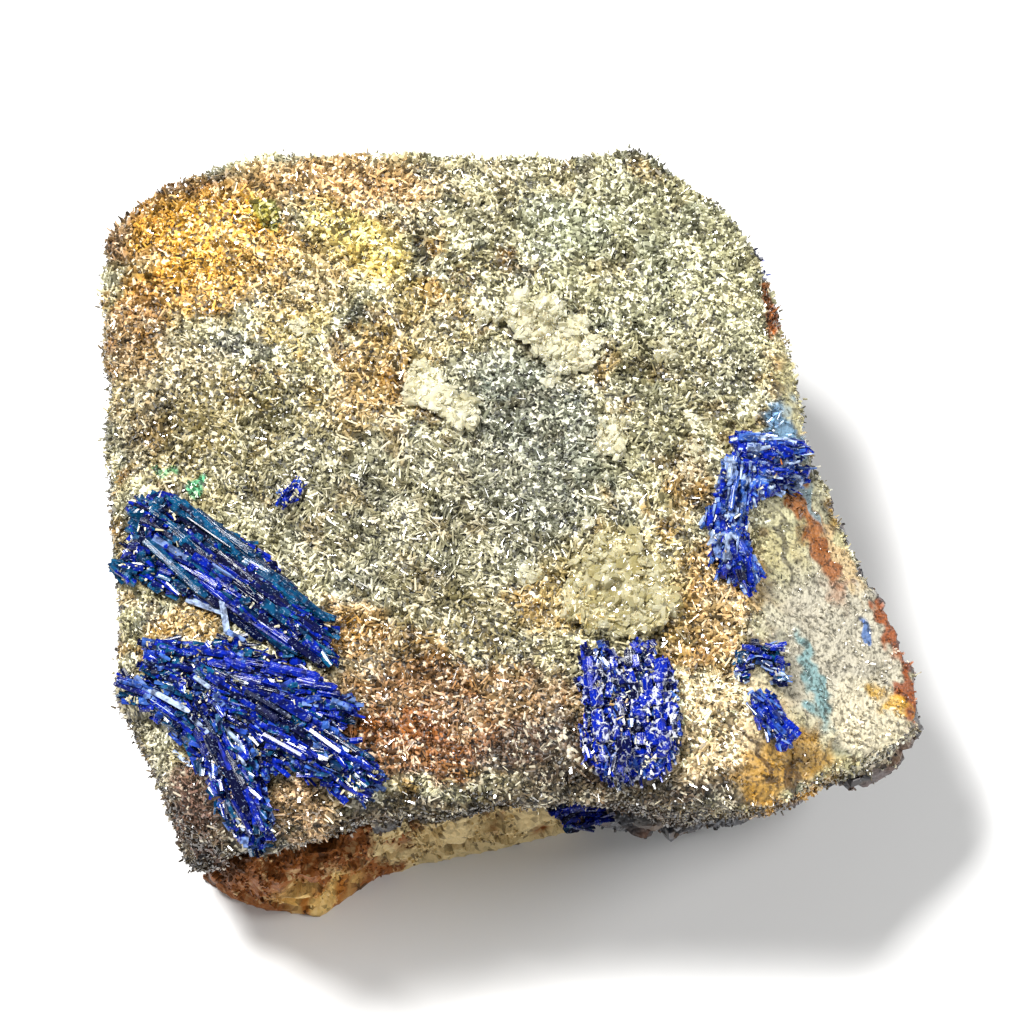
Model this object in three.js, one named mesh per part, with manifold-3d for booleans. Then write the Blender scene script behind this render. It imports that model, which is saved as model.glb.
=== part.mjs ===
// A hand specimen of galena: a blocky piece of ore whose broad face carries a crust of small pale crystals,
// with fans and clumps of blue bladed crystals grown on it and a seam of vein quartz under its front edge.
// Millimetres. +Z is up from the surface it rests on, +X to the right and +Y away from the viewer.
import * as THREE from "three";
import { mergeVertices } from "three/addons/utils/BufferGeometryUtils.js";
import { ImprovedNoise } from "three/addons/math/ImprovedNoise.js";
import Module from "manifold-3d";

const wasm = await Module();
wasm.setup();

// Driving dimensions.
const FACE_HEIGHT = 21.5; // the crusted face above the resting plane
const WAIST_HEIGHT = 11; // where the sides turn under
const GAP = 0.3; // clearance between the matrix and what is seated on it
const BLUE_CRUST = 0.8; // how far the massive part of a blue cluster stands off the face
const PALE_CRUST = 0.5; // the same for a pale one
const CRUST_DEPTH = 6; // how far down the sides a cluster can reach
const RIM_ROUND = 0.9; // how far the edge of the face rolls over
const BELOW = -2; // the loft runs this far under the resting plane, where it is cut flat
const MIDDLE = [-0.22, 1.0]; // the middle of the finished specimen's box, in the plan drawn below
const LARGE = 120; // the side of a box that is bigger than the specimen

// The edge of the crusted face seen from above, clockwise from its left end.
const RIM = [
  [-28.2, 19.2], [-27.6, 21.2], [-25.2, 23.3], [-22.8, 24.6], [-20.4, 25.4], [-17.0, 25.8], [-14.0, 26.0],
  [-7.6, 26.0], [-2.7, 25.6], [3.5, 25.5], [8.1, 26.0], [9.7, 26.0], [12.1, 23.7], [15.5, 20.8],
  [17.7, 17.3], [18.3, 13.9], [19.2, 11.3], [19.8, 6.5], [20.8, 2.8], [21.6, -0.2], [23.4, -3.3],
  [25.6, -6.0], [26.7, -9.0], [27.8, -11.7], [27.3, -15.1], [25.0, -17.5], [19.4, -20.7], [15.7, -21.7],
  [11.4, -21.4], [6.7, -21.3], [3.4, -21.1], [-1.9, -21.4], [-7.9, -21.9], [-13.9, -23.8], [-18.2, -24.3],
  [-20.9, -22.1], [-22.9, -19.2], [-24.7, -15.8], [-26.0, -13.1], [-26.2, -9.0], [-26.5, -4.5],
  [-26.6, 1.3], [-27.1, 7.2], [-27.6, 13.4],
];
// The sides at the waist.
const WAIST = [
  [-28.0, 18.0], [-26.4, 21.6], [-20.8, 25.2], [-14.0, 26.2], [-6.0, 25.6], [3.0, 24.8], [9.0, 25.2],
  [13.2, 21.6], [17.4, 16.4], [18.8, 11.2], [20.4, 5.8], [22.4, 0.6], [25.4, -5.6], [27.7, -11.0],
  [27.5, -14.4], [25.6, -15.9], [22.6, -17.0], [18.6, -18.6], [14.4, -19.6], [11.4, -20.7], [7.8, -20.2],
  [6.6, -18.0], [3.4, -17.2], [-2.0, -18.2], [-7.4, -19.0], [-14.0, -20.4], [-18.0, -21.6], [-21.6, -22.2],
  [-22.6, -20.2], [-23.8, -16.6], [-25.3, -12.4], [-26.1, -7.0], [-26.7, 1.0], [-27.5, 10.0],
];
// The foot, at the resting plane.
const FOOT = [
  [-25.6, 15.6], [-23.6, 19.6], [-16.0, 23.0], [-6.0, 23.4], [3.6, 22.4], [9.4, 20.8], [14.4, 15.8],
  [17.6, 8.6], [20.2, 0.4], [23.2, -6.4], [23.6, -11.6], [18.8, -13.8], [12.0, -15.6], [7.0, -15.4],
  [0.0, -15.0], [-8.0, -16.6], [-15.0, -18.6], [-20.2, -20.4], [-22.4, -16.0], [-23.8, -8.0], [-24.8, 4.0],
];
// The quartz seam seen from above: its front edge left to right, then its hidden back edge.
const SEAM = [
  [-21.6, -20.4], [-19.4, -21.7], [-17.3, -22.4], [-14.5, -22.9], [-12.8, -23.1], [-12.2, -21.7],
  [-9.7, -20.3], [-5.5, -19.0], [-0.6, -18.1], [4.3, -17.1], [6.4, -16.6], [5.2, -13.2],
  [-2.0, -13.2], [-10.0, -14.4], [-18.4, -16.6],
];
const SEAM_MIDDLE = [-7.5, -18.2];
const SEAM_TOP = 9.4; // height of the seam's top at its left end
const SEAM_RISE = 0.05; // how fast it climbs towards the right
const CREVICE = 1.1; // the open crack over the seam, at its front
const CREVICE_BACK = -17.2; // how far back it is open

// Flights of cleavage steps in the sides and back: an outer corner, its first size and its number of steps.
const CLEAVAGE_TURN = 0.28; // the cube faces are turned by this about +Z, in radians
const CLEAVAGE_LEAN = 0.06;
const CLEAVAGE_TREAD = 2.1; // how far each step goes in
const CLEAVAGE_RISER = 3.4; // how far each step drops
const CLEAVAGE_FLIGHTS = [
  { at: [-26, 23, 4], size: [16, 8, 17], steps: 2 },
  { at: [-8, 28, 2], size: [13, 9, 16], steps: 2 },
  { at: [8, 27, 6], size: [12, 8, 17], steps: 2 },
  { at: [20, 17, 2], size: [10, 11, 17], steps: 2 },
  { at: [26, 2, 2], size: [9, 11, 13], steps: 1 },
  { at: [-30, 9, 4], size: [8, 22, 14], steps: 2 },
  { at: [-30, -8, 1], size: [9, 9, 13], steps: 1 },
];

// The broken face at the right: a point on it, the way that it falls, and its slope.
const BREAK_AT = new THREE.Vector3(15.9, -10.0, FACE_HEIGHT);
const BREAK_HEADING = THREE.MathUtils.degToRad(-6);
const BREAK_SLOPE = THREE.MathUtils.degToRad(30);

// Outlines of the clusters on the face, seen from above.
const UPPER_FAN = [
  [-23.6, 0.0], [-21.5, -2.8], [-20.3, -2.3], [-18.9, -2.9], [-16.6, -4.9], [-14.0, -8.1], [-11.9, -11.0],
  [-11.8, -12.3], [-14.0, -11.5], [-16.5, -9.3], [-18.7, -7.9], [-21.0, -7.2], [-23.4, -7.2], [-25.2, -5.9],
  [-25.9, -3.8], [-25.4, -0.6],
];
const LOWER_FAN = [
  [-24.4, -10.8], [-21.0, -11.0], [-18.0, -10.8], [-15.7, -12.3], [-12.2, -14.2], [-10.2, -15.6],
  [-11.2, -17.2], [-8.6, -20.4], [-9.4, -21.6], [-12.6, -19.7], [-16.7, -19.7], [-16.1, -23.6],
  [-17.1, -23.9], [-19.1, -19.4], [-21.8, -17.3], [-24.6, -14.3],
];
const FRONT_BLOCK = [
  [5.0, -11.7], [6.4, -11.5], [6.9, -12.3], [7.9, -12.2], [8.1, -11.3], [9.4, -11.0], [10.3, -14.6],
  [10.7, -18.5], [9.7, -20.0], [7.4, -20.3], [5.7, -19.8], [5.1, -14.6],
];
const RIGHT_VEIN = [
  [15.4, 3.6], [19.1, 3.2], [20.2, 2.2], [19.6, 0.8], [17.1, -0.2], [16.2, -1.2], [15.9, -2.7], [16.1, -4.5],
  [16.7, -7.4], [15.7, -7.3], [14.5, -6.4], [13.5, -4.4], [13.3, -2.4], [13.8, -0.3], [14.6, 1.4],
];
const STREAK = [
  [15.8, -14.5], [16.5, -14.1], [18.0, -14.1], [18.3, -15.8], [18.7, -17.5], [17.6, -16.6], [17.0, -15.5],
  [16.0, -15.6],
];
const CHIPS = [
  [14.9, -11.3], [16.2, -10.7], [18.4, -11.1], [18.6, -13.6], [17.8, -13.6], [17.4, -12.4], [16.3, -12.1],
  [15.8, -13.6], [15.0, -13.4],
];
const SPECK = [[-15.7, -1.0], [-15.3, 0.3], [-14.4, 1.0], [-13.9, 0.7], [-14.4, -0.5], [-15.2, -1.3]];
const UPPER_ROSETTE = [
  [-0.9, 13.0], [0.4, 14.8], [2.5, 15.0], [3.7, 13.8], [5.4, 12.6], [6.1, 10.9], [5.7, 9.3], [3.9, 8.8],
  [2.5, 9.8], [1.3, 10.8],
];
const LEFT_CLUSTER = [
  [-7.4, 7.8], [-6.6, 9.4], [-5.1, 9.3], [-4.3, 7.9], [-2.7, 7.2], [-1.8, 6.0], [-2.2, 4.7], [-3.6, 4.4],
  [-5.4, 6.1], [-6.9, 6.7],
];
const RIGHT_CLUSTER = [[5.6, 4.4], [6.5, 5.5], [8.0, 5.2], [8.1, 3.7], [7.0, 2.8], [5.9, 3.3]];
const LOWER_MASS = [
  [3.3, -7.6], [4.3, -5.0], [5.9, -3.2], [8.3, -3.0], [9.4, -4.7], [11.1, -5.8], [11.5, -8.0], [10.5, -9.9],
  [8.2, -10.4], [5.4, -10.2], [3.8, -9.2],
];

const grain = new ImprovedNoise();
const lump = (x, y, z, size) => grain.noise(x / size + 7.3, y / size + 3.1, z / size + 11.7);
const mixed = (a, b, t) => a + (b - a) * t;
const radians = THREE.MathUtils.degToRad;

// Numbers from 0 to 1 that come out the same each time.
function seeded(seed) {
  let state = seed;
  return () => {
    state = (state * 1103515245 + 12345) % 2147483648;
    return state / 2147483648;
  };
}

// How far a closed outline reaches from the origin along an angle.
function reach(outline, angle) {
  const way = [Math.cos(angle), Math.sin(angle)];
  let best = 0;
  outline.forEach((start, i) => {
    const end = outline[(i + 1) % outline.length];
    const side = [end[0] - start[0], end[1] - start[1]];
    const cross = way[0] * side[1] - way[1] * side[0];
    const along = (start[0] * side[1] - start[1] * side[0]) / cross;
    const share = (start[0] * way[1] - start[1] * way[0]) / cross;
    if (along > 0 && share >= -1e-9 && share <= 1 + 1e-9) best = Math.max(best, along);
  });
  return best;
}

// How far a point lies past a line in plan, given by a point on it and the heading that it faces.
function past(x, y, px, py, heading) {
  const a = radians(heading);
  return Math.max(0, (x - px) * Math.cos(a) + (y - py) * Math.sin(a));
}

function dome(x, y, px, py, size) {
  return Math.exp(-((x - px) ** 2 + (y - py) ** 2) / (size * size));
}

// Height of the crusted face: nearly flat, falling off at its front, its corners and its right side.
function faceHeight(x, y) {
  let z = FACE_HEIGHT + 0.9 * lump(x, y, 0, 13) + 0.6 * lump(x, y, 5, 5) + 0.3 * lump(x, y, 9, 2.4);
  z -= 0.42 * past(x, y, 0, -18.0, -90);
  z -= 0.55 * past(x, y, -18.0, -17.5, -140);
  z -= 0.45 * past(x, y, -22.5, 19.5, 130);
  z -= 0.3 * past(x, y, 15.0, 12.0, 10);
  z -= 1.2 * dome(x, y, -22.3, -8.9, 1.8);
  z += 0.7 * dome(x, y, 7.4, -6.6, 3.6);
  z += 0.6 * dome(x, y, 9.0, 25.0, 1.8);
  z += 0.6 * dome(x, y, -13.4, -21.4, 2.0);
  return z;
}

// A closed solid from rings of points, each ring the same length, with a point at each end.
function loftSolid(top, rings, bottom) {
  const around = rings[0].length;
  const points = [top, ...rings.flat(), bottom];
  const last = points.length - 1;
  const at = (ring, i) => 1 + ring * around + (i % around);
  const index = [];
  for (let i = 0; i < around; i++) {
    index.push(0, at(0, i), at(0, i + 1));
    for (let ring = 0; ring < rings.length - 1; ring++) {
      index.push(at(ring, i), at(ring + 1, i), at(ring + 1, i + 1));
      index.push(at(ring, i), at(ring + 1, i + 1), at(ring, i + 1));
    }
    index.push(at(rings.length - 1, i + 1), at(rings.length - 1, i), last);
  }
  const geometry = new THREE.BufferGeometry().setFromPoints(points);
  geometry.setIndex(index);
  return toSolid(geometry);
}

function toSolid(geometry) {
  const bare = geometry.clone();
  bare.deleteAttribute("normal");
  bare.deleteAttribute("uv");
  const merged = mergeVertices(bare, 1e-4);
  return new wasm.Manifold(
    new wasm.Mesh({
      numProp: 3,
      vertProperties: merged.attributes.position.array,
      triVerts: new Uint32Array(merged.index.array),
    }),
  );
}

function toGeometry(solid) {
  const mesh = solid.getMesh();
  const positions = new Float32Array(mesh.numVert * 3);
  for (let i = 0; i < mesh.numVert; i++) {
    positions.set(mesh.vertProperties.subarray(i * mesh.numProp, i * mesh.numProp + 3), i * 3);
  }
  const geometry = new THREE.BufferGeometry();
  geometry.setAttribute("position", new THREE.BufferAttribute(positions, 3));
  geometry.setIndex(new THREE.BufferAttribute(mesh.triVerts, 1));
  return geometry;
}

function joined(solids) {
  return solids.reduce((whole, solid) => whole.add(solid));
}

// The largest single body of a solid, without crumbs that a cut has left.
function mainBody(solid) {
  return solid.decompose().reduce((a, b) => (b.volume() > a.volume() ? b : a));
}

function boxSolid(size, centre, facing) {
  const place = new THREE.Matrix4().compose(centre, facing, new THREE.Vector3(1, 1, 1));
  return toSolid(new THREE.BoxGeometry(...size).applyMatrix4(place));
}

function directions(count) {
  return Array.from({ length: count }, (_, i) => (i / count) * 2 * Math.PI);
}

// The block before anything is cut from it; grow puts its whole surface that much further out.
function roughBlock(grow) {
  const faceShares = [0.2, 0.38, 0.54, 0.68, 0.8, 0.9, 0.965, 1];
  const sideShares = [0.14, 0.36, 0.66, 1];
  const angles = directions(70);
  const edges = angles.map((a) => ({ rim: reach(RIM, a), waist: reach(WAIST, a), foot: reach(FOOT, a) }));
  const onFace = (angle, out, share) => {
    const x = Math.cos(angle) * out;
    const y = Math.sin(angle) * out;
    const roll = Math.max(0, (share - 0.9) / 0.1) ** 2 * RIM_ROUND;
    const spread = share === 1 ? grow : 0;
    const z = faceHeight(x, y) - roll + grow;
    return new THREE.Vector3(x + Math.cos(angle) * spread, y + Math.sin(angle) * spread, z);
  };
  const onSide = (angle, out, z) => {
    const rough = 1.1 * lump(Math.cos(angle) * out, Math.sin(angle) * out, z, 5);
    const fine = 0.7 * lump(Math.cos(angle) * out, Math.sin(angle) * out, z, 2.2);
    const far = out + rough + fine + grow;
    return new THREE.Vector3(Math.cos(angle) * far, Math.sin(angle) * far, z);
  };
  const rings = faceShares.map((share) => angles.map((a, i) => onFace(a, edges[i].rim * share, share)));
  const rimHeights = angles.map((a, i) => onFace(a, edges[i].rim, 1).z);
  const side = (share, from, to, top, foot) =>
    angles.map((a, i) => onSide(a, mixed(edges[i][from], edges[i][to], share), mixed(top[i], foot, share)));
  sideShares.forEach((share) => rings.push(side(share, "rim", "waist", rimHeights, WAIST_HEIGHT)));
  const waistHeights = angles.map(() => WAIST_HEIGHT);
  sideShares.forEach((share) => rings.push(side(share, "waist", "foot", waistHeights, BELOW)));
  const crown = new THREE.Vector3(0, 0, faceHeight(0, 0) + grow);
  return loftSolid(crown, rings, new THREE.Vector3(0, 0, BELOW));
}

// Everything on the open side of the broken face.
function breakAway(grow) {
  const turn = new THREE.Quaternion().setFromAxisAngle(new THREE.Vector3(0, 0, 1), BREAK_HEADING);
  const lean = new THREE.Quaternion().setFromAxisAngle(new THREE.Vector3(0, 1, 0), BREAK_SLOPE);
  const facing = turn.multiply(lean);
  const normal = new THREE.Vector3(0, 0, 1).applyQuaternion(facing);
  const centre = BREAK_AT.clone().addScaledVector(normal, LARGE / 2 + grow);
  return boxSolid([LARGE, LARGE, LARGE], centre, facing);
}

// A flight of steps along the cleavage, each one further in and lower than the last.
function cleavageFlight({ at, size, steps }) {
  const turn = new THREE.Euler(CLEAVAGE_LEAN, -CLEAVAGE_LEAN, CLEAVAGE_TURN);
  const facing = new THREE.Quaternion().setFromEuler(turn);
  const inward = new THREE.Vector2(-at[0], -at[1]).normalize();
  return Array.from({ length: steps }, (_, step) => {
    const into = step * CLEAVAGE_TREAD;
    const centre = new THREE.Vector3(at[0] + inward.x * into, at[1] + inward.y * into, at[2]);
    centre.z -= (step * CLEAVAGE_RISER) / 2;
    return boxSolid([size[0], size[1], size[2] - step * CLEAVAGE_RISER], centre, facing);
  });
}

// The quartz seam; grow fattens it into the pocket that it lies in, whose roof opens forward as the crevice.
function seamBody(grow, crevice) {
  const local = SEAM.map(([x, y]) => [x - SEAM_MIDDLE[0], y - SEAM_MIDDLE[1]]);
  const angles = directions(44);
  const placed = (angle, share, z, rough) => {
    const out = reach(local, angle) * share;
    const wobble = rough * lump(out * Math.cos(angle), out * Math.sin(angle), z, 2.2);
    const far = out + wobble + (share > 0.9 ? grow : 0);
    return [SEAM_MIDDLE[0] + far * Math.cos(angle), SEAM_MIDDLE[1] + far * Math.sin(angle)];
  };
  const roof = (x, y) => {
    const open = crevice * THREE.MathUtils.clamp(CREVICE_BACK - y, 0, 1);
    return SEAM_TOP + SEAM_RISE * (x + 20) + 0.6 * lump(x, y, 2, 3) + grow + open;
  };
  const topRing = (share, edgeDrop) =>
    angles.map((a) => {
      const [x, y] = placed(a, share, SEAM_TOP, 0);
      return new THREE.Vector3(x, y, roof(x, y) - edgeDrop);
    });
  const sideRing = (level) =>
    angles.map((a) => {
      const [x, y] = placed(a, 1, level * SEAM_TOP, 0.6);
      return new THREE.Vector3(x, y, level * roof(x, y));
    });
  const footRing = angles.map((a) => {
    const [x, y] = placed(a, 1, 0, 0.6);
    return new THREE.Vector3(x, y, BELOW);
  });
  const roofRings = [topRing(0.4, 0), topRing(0.75, 0), topRing(0.94, 0.3)];
  const rings = [...roofRings, ...[0.88, 0.6, 0.3].map(sideRing), footRing];
  const [x, y] = SEAM_MIDDLE;
  return loftSolid(new THREE.Vector3(x, y, roof(x, y)), rings, new THREE.Vector3(x, y, BELOW));
}

// The outer skin of the matrix, moved out by grow: what the crystals on it are fitted to.
function matrixSkin(grow) {
  return roughBlock(grow).subtract(breakAway(grow));
}

const upright = new THREE.Quaternion();
const underPlane = boxSolid([LARGE, LARGE, LARGE], new THREE.Vector3(0, 0, -LARGE / 2), upright);
const seat = matrixSkin(GAP);

function matrixSolid() {
  const steps = CLEAVAGE_FLIGHTS.flatMap(cleavageFlight);
  return mainBody(matrixSkin(0).subtract(joined([seamBody(GAP, CREVICE), ...steps, underPlane])));
}

function seamSolid() {
  return mainBody(seamBody(0, 0).subtract(underPlane));
}

// One six-sided bladed crystal along +X from the origin, flattened, with a bevelled end.
function crystalShape(length, width, thickness, blunt) {
  const tip = length * (0.65 + 0.35 * blunt);
  const profile = [[0, 0], [1, 0.05 * length], [1, tip], [blunt, length], [0, length]];
  const lathe = new THREE.LatheGeometry(profile.map((point) => new THREE.Vector2(...point)), 6);
  lathe.rotateZ(-Math.PI / 2);
  lathe.scale(1, width / 2, thickness / 2);
  return lathe;
}

// The height of the crusted face or of the broken face, whichever is lower.
function surface(x, y) {
  const out = (x - BREAK_AT.x) * Math.cos(BREAK_HEADING) + (y - BREAK_AT.y) * Math.sin(BREAK_HEADING);
  return Math.min(faceHeight(x, y), BREAK_AT.z - out * Math.tan(BREAK_SLOPE));
}

// A crystal rooted at (x, y, z), with its heading, rise and roll about its own length in degrees.
function crystal({ x, y, z, heading, rise = 0, roll = 0, length, width, thickness, blunt = 0.45 }) {
  const shape = crystalShape(length, width, thickness, blunt);
  shape.rotateX(radians(roll));
  shape.rotateY(radians(-rise));
  shape.rotateZ(radians(heading));
  shape.translate(x, y, z);
  return toSolid(shape);
}

// Nearly parallel blades laid from start to end, side by side over a width, standing off the face by lift.
function bundle(blades) {
  const { start, end, width, count, seed, lift = 0.9, rise = 0, thickness = 0.9, fan = 0 } = blades;
  const { at = surface } = blades;
  const random = seeded(seed);
  const run = new THREE.Vector2(end[0] - start[0], end[1] - start[1]);
  const heading = THREE.MathUtils.radToDeg(run.angle());
  const across = new THREE.Vector2(-run.y, run.x).normalize();
  return Array.from({ length: count }, (_, i) => {
    const lane = count > 1 ? i / (count - 1) - 0.5 : 0;
    const from = random() * 0.25;
    const share = 1 - from - random() * 0.2;
    const x = start[0] + run.x * from + across.x * lane * width;
    const y = start[1] + run.y * from + across.y * lane * width;
    return crystal({
      x,
      y,
      z: at(x, y) + lift * (1 - 1.1 * Math.abs(lane)) + 0.25 * random(),
      heading: heading + fan * lane + 5 * (random() - 0.5),
      rise: rise + 3 * (random() - 0.5),
      roll: 40 * (random() - 0.5) - 60 * lane,
      length: run.length() * share,
      width: (1.4 * width) / count + 0.35,
      thickness: thickness * (0.8 + 0.4 * random()),
    });
  });
}

// Short stout crystals spread over an ellipse, each leaning out from its middle.
function clump({ x, y, across, along, turn = 0, count, size, lean = 35, thickness = 0.9, seed }) {
  const random = seeded(seed);
  const golden = Math.PI * (3 - Math.sqrt(5));
  const middle = new THREE.Vector2(x, y);
  return Array.from({ length: count }, (_, i) => {
    const out = Math.sqrt((i + 0.5) / count);
    const angle = i * golden;
    const spot = new THREE.Vector2((along / 2) * out * Math.cos(angle), (across / 2) * out * Math.sin(angle));
    spot.rotateAround(new THREE.Vector2(0, 0), radians(turn)).add(middle);
    const scale = 0.75 + 0.5 * random();
    return crystal({
      x: spot.x,
      y: spot.y,
      z: surface(spot.x, spot.y) - 0.4,
      heading: THREE.MathUtils.radToDeg(angle) + turn + 30 * (random() - 0.5),
      rise: 90 - lean * out - 14 * random(),
      roll: 180 * random(),
      length: size * scale * (1.15 - 0.35 * out),
      width: size * 0.8 * scale,
      thickness: size * 0.8 * scale * thickness,
      blunt: 0.6,
    });
  });
}

// The massive part of a cluster: a layer that follows the face inside an outline.
function crustLayer(outline, thickness) {
  const shape = new THREE.Shape(outline.map(([x, y]) => new THREE.Vector2(x, y)));
  const column = new THREE.ExtrudeGeometry(shape, { depth: 2 * CRUST_DEPTH, bevelEnabled: false });
  column.translate(0, 0, FACE_HEIGHT - CRUST_DEPTH);
  return matrixSkin(GAP + thickness).intersect(toSolid(column));
}

// Seats crystals on the face: whatever would lie in the matrix is cut away.
function seated(solids) {
  return mainBody(joined(solids).subtract(seat));
}

function blueBladesUpperLeft() {
  return seated([
    crustLayer(UPPER_FAN, BLUE_CRUST),
    ...bundle({ start: [-24.6, -1.6], end: [-11.8, -12.2], width: 2.8, count: 4, lift: 1.3, seed: 11 }),
    ...bundle({ start: [-20.8, -3.2], end: [-12.2, -10.8], width: 1.5, count: 3, lift: 1.5, seed: 23 }),
    ...clump({
      x: -24.4, y: -4.4, across: 2.4, along: 4.0, turn: 80, count: 3, size: 1.9, thickness: 0.7, seed: 5,
    }),
  ]);
}

function blueBladesLowerLeft() {
  return seated([
    crustLayer(LOWER_FAN, BLUE_CRUST),
    ...bundle({ start: [-23.8, -12.0], end: [-10.2, -15.8], width: 2.4, count: 4, lift: 1.3, seed: 31 }),
    ...bundle({
      start: [-20.8, -13.6], end: [-8.6, -21.2], width: 2.6, count: 4, lift: 1.5, fan: -6, seed: 47,
    }),
    ...bundle({
      start: [-20.6, -15.4], end: [-16.5, -24.6], width: 1.8, count: 3, lift: 1.1, rise: -6, seed: 53,
    }),
    ...bundle({ start: [-23.0, -14.4], end: [-26.4, -13.4], width: 1.1, count: 2, lift: 0.5, seed: 59 }),
    ...bundle({ start: [-24.2, -13.6], end: [-20.2, -17.0], width: 1.4, count: 2, lift: 1.0, seed: 60 }),
    ...clump({
      x: -20.0, y: -12.6, across: 2.6, along: 7.0, turn: -8, count: 4, size: 1.7, thickness: 0.7, seed: 61,
    }),
  ]);
}

function blueBlockFront() {
  return seated([
    crustLayer(FRONT_BLOCK, 1.1),
    ...bundle({
      start: [6.2, -11.8], end: [7.0, -20.6], width: 1.9, count: 3, lift: 1.2, thickness: 1.5, seed: 71,
    }),
    ...bundle({
      start: [8.9, -10.9], end: [10.0, -19.4], width: 1.4, count: 2, lift: 1.6, thickness: 1.7, seed: 73,
    }),
  ]);
}

function blueVeinRight() {
  return seated([
    crustLayer(RIGHT_VEIN, BLUE_CRUST),
    ...bundle({ start: [15.2, 2.6], end: [20.4, 1.9], width: 1.8, count: 3, lift: 0.8, seed: 83 }),
    ...bundle({ start: [15.4, 1.6], end: [14.4, -5.6], width: 1.7, count: 3, lift: 0.9, seed: 89 }),
    ...bundle({ start: [14.9, -3.8], end: [16.4, -7.6], width: 0.9, count: 2, lift: 0.8, seed: 97 }),
  ]);
}

function blueStreakLowerRight() {
  return seated([
    crustLayer(STREAK, PALE_CRUST),
    ...bundle({ start: [16.4, -14.4], end: [18.8, -17.9], width: 0.7, count: 2, lift: 0.4, seed: 101 }),
  ]);
}

function blueChipsLowerRight() {
  return seated([
    crustLayer(CHIPS, PALE_CRUST),
    ...bundle({ start: [15.3, -11.2], end: [18.4, -11.3], width: 0.6, count: 2, lift: 0.5, seed: 149 }),
  ]);
}

function blueSpeckCentre() {
  return seated([
    crustLayer(SPECK, PALE_CRUST),
    ...bundle({ start: [-15.7, -1.0], end: [-14.0, 0.9], width: 0.6, count: 2, lift: 0.5, seed: 103 }),
  ]);
}

// A clump that grows out from the seam's upper edge, in the mouth of the crevice.
function blueLedgeFront() {
  const height = 6.8;
  const blades = bundle({
    start: [3.0, -18.2], end: [6.8, -17.3], width: 1.3, count: 3, thickness: 2.0, seed: 151, at: () => height,
  });
  return mainBody(joined(blades).subtract(seat).subtract(seamBody(GAP, 0)));
}

function paleRosetteUpper() {
  return seated([
    crustLayer(UPPER_ROSETTE, PALE_CRUST),
    ...clump({ x: 1.7, y: 13.0, across: 2.8, along: 4.4, turn: -8, count: 6, size: 1.7, seed: 107 }),
    ...clump({ x: 4.2, y: 10.9, across: 2.8, along: 3.4, turn: -40, count: 4, size: 1.5, seed: 109 }),
  ]);
}

function paleClusterLeft() {
  return seated([
    crustLayer(LEFT_CLUSTER, PALE_CRUST),
    ...clump({ x: -6.0, y: 8.0, across: 2.2, along: 2.8, turn: -50, count: 4, size: 1.5, seed: 113 }),
    ...clump({ x: -3.2, y: 5.9, across: 1.8, along: 2.4, turn: -40, count: 3, size: 1.2, seed: 127 }),
  ]);
}

function paleClusterRight() {
  return seated([
    crustLayer(RIGHT_CLUSTER, PALE_CRUST),
    ...clump({ x: 6.9, y: 4.2, across: 1.9, along: 2.1, turn: 20, count: 4, size: 1.3, seed: 131 }),
  ]);
}

function paleMassLower() {
  return seated([
    crustLayer(LOWER_MASS, PALE_CRUST),
    ...clump({ x: 7.2, y: -4.6, across: 2.2, along: 3.2, turn: 10, count: 4, size: 1.5, seed: 137 }),
    ...clump({ x: 7.5, y: -7.8, across: 3.4, along: 5.6, turn: -12, count: 6, size: 1.5, seed: 139 }),
  ]);
}

const specimen = new THREE.Group();
specimen.position.set(-MIDDLE[0], -MIDDLE[1], 0);

function piece(name, solid, color, roughness, metalness = 0) {
  const material = new THREE.MeshStandardMaterial({ color, roughness, metalness, flatShading: true });
  const mesh = new THREE.Mesh(toGeometry(solid), material);
  mesh.name = name;
  specimen.add(mesh);
}

piece("galena_matrix", matrixSolid(), 0x8d8670, 0.6, 0.1);
piece("quartz_seam", seamSolid(), 0xc9b890, 0.45);
piece("blue_blades_upper_left", blueBladesUpperLeft(), 0x14329a, 0.2);
piece("blue_blades_lower_left", blueBladesLowerLeft(), 0x0f2389, 0.2);
piece("blue_block_front", blueBlockFront(), 0x0d2ba6, 0.2);
piece("blue_vein_right", blueVeinRight(), 0x173bb4, 0.25);
piece("blue_streak_lower_right", blueStreakLowerRight(), 0x2c63c4, 0.3);
piece("blue_chips_lower_right", blueChipsLowerRight(), 0x5577b8, 0.3);
piece("blue_speck_centre", blueSpeckCentre(), 0x1a4bd0, 0.2);
piece("blue_ledge_front", blueLedgeFront(), 0x0b1766, 0.2);
piece("pale_rosette_upper", paleRosetteUpper(), 0xd9dcae, 0.25);
piece("pale_cluster_left", paleClusterLeft(), 0xd6dbbd, 0.25);
piece("pale_cluster_right", paleClusterRight(), 0xd4d9bf, 0.25);
piece("pale_mass_lower", paleMassLower(), 0xd8d29a, 0.25);

export default specimen;
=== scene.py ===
"""Looks of a hand specimen of galena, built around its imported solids.

The broad face carries a crust of thousands of small crystals, stained ochre and brown in patches,
with fans of blue blades, pale rosettes and a seam of vein quartz under its front edge.
"""

import math

import bmesh
import bpy
import numpy as np
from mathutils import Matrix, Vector, noise
from mathutils.bvhtree import BVHTree
from mathutils.kdtree import KDTree


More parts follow.
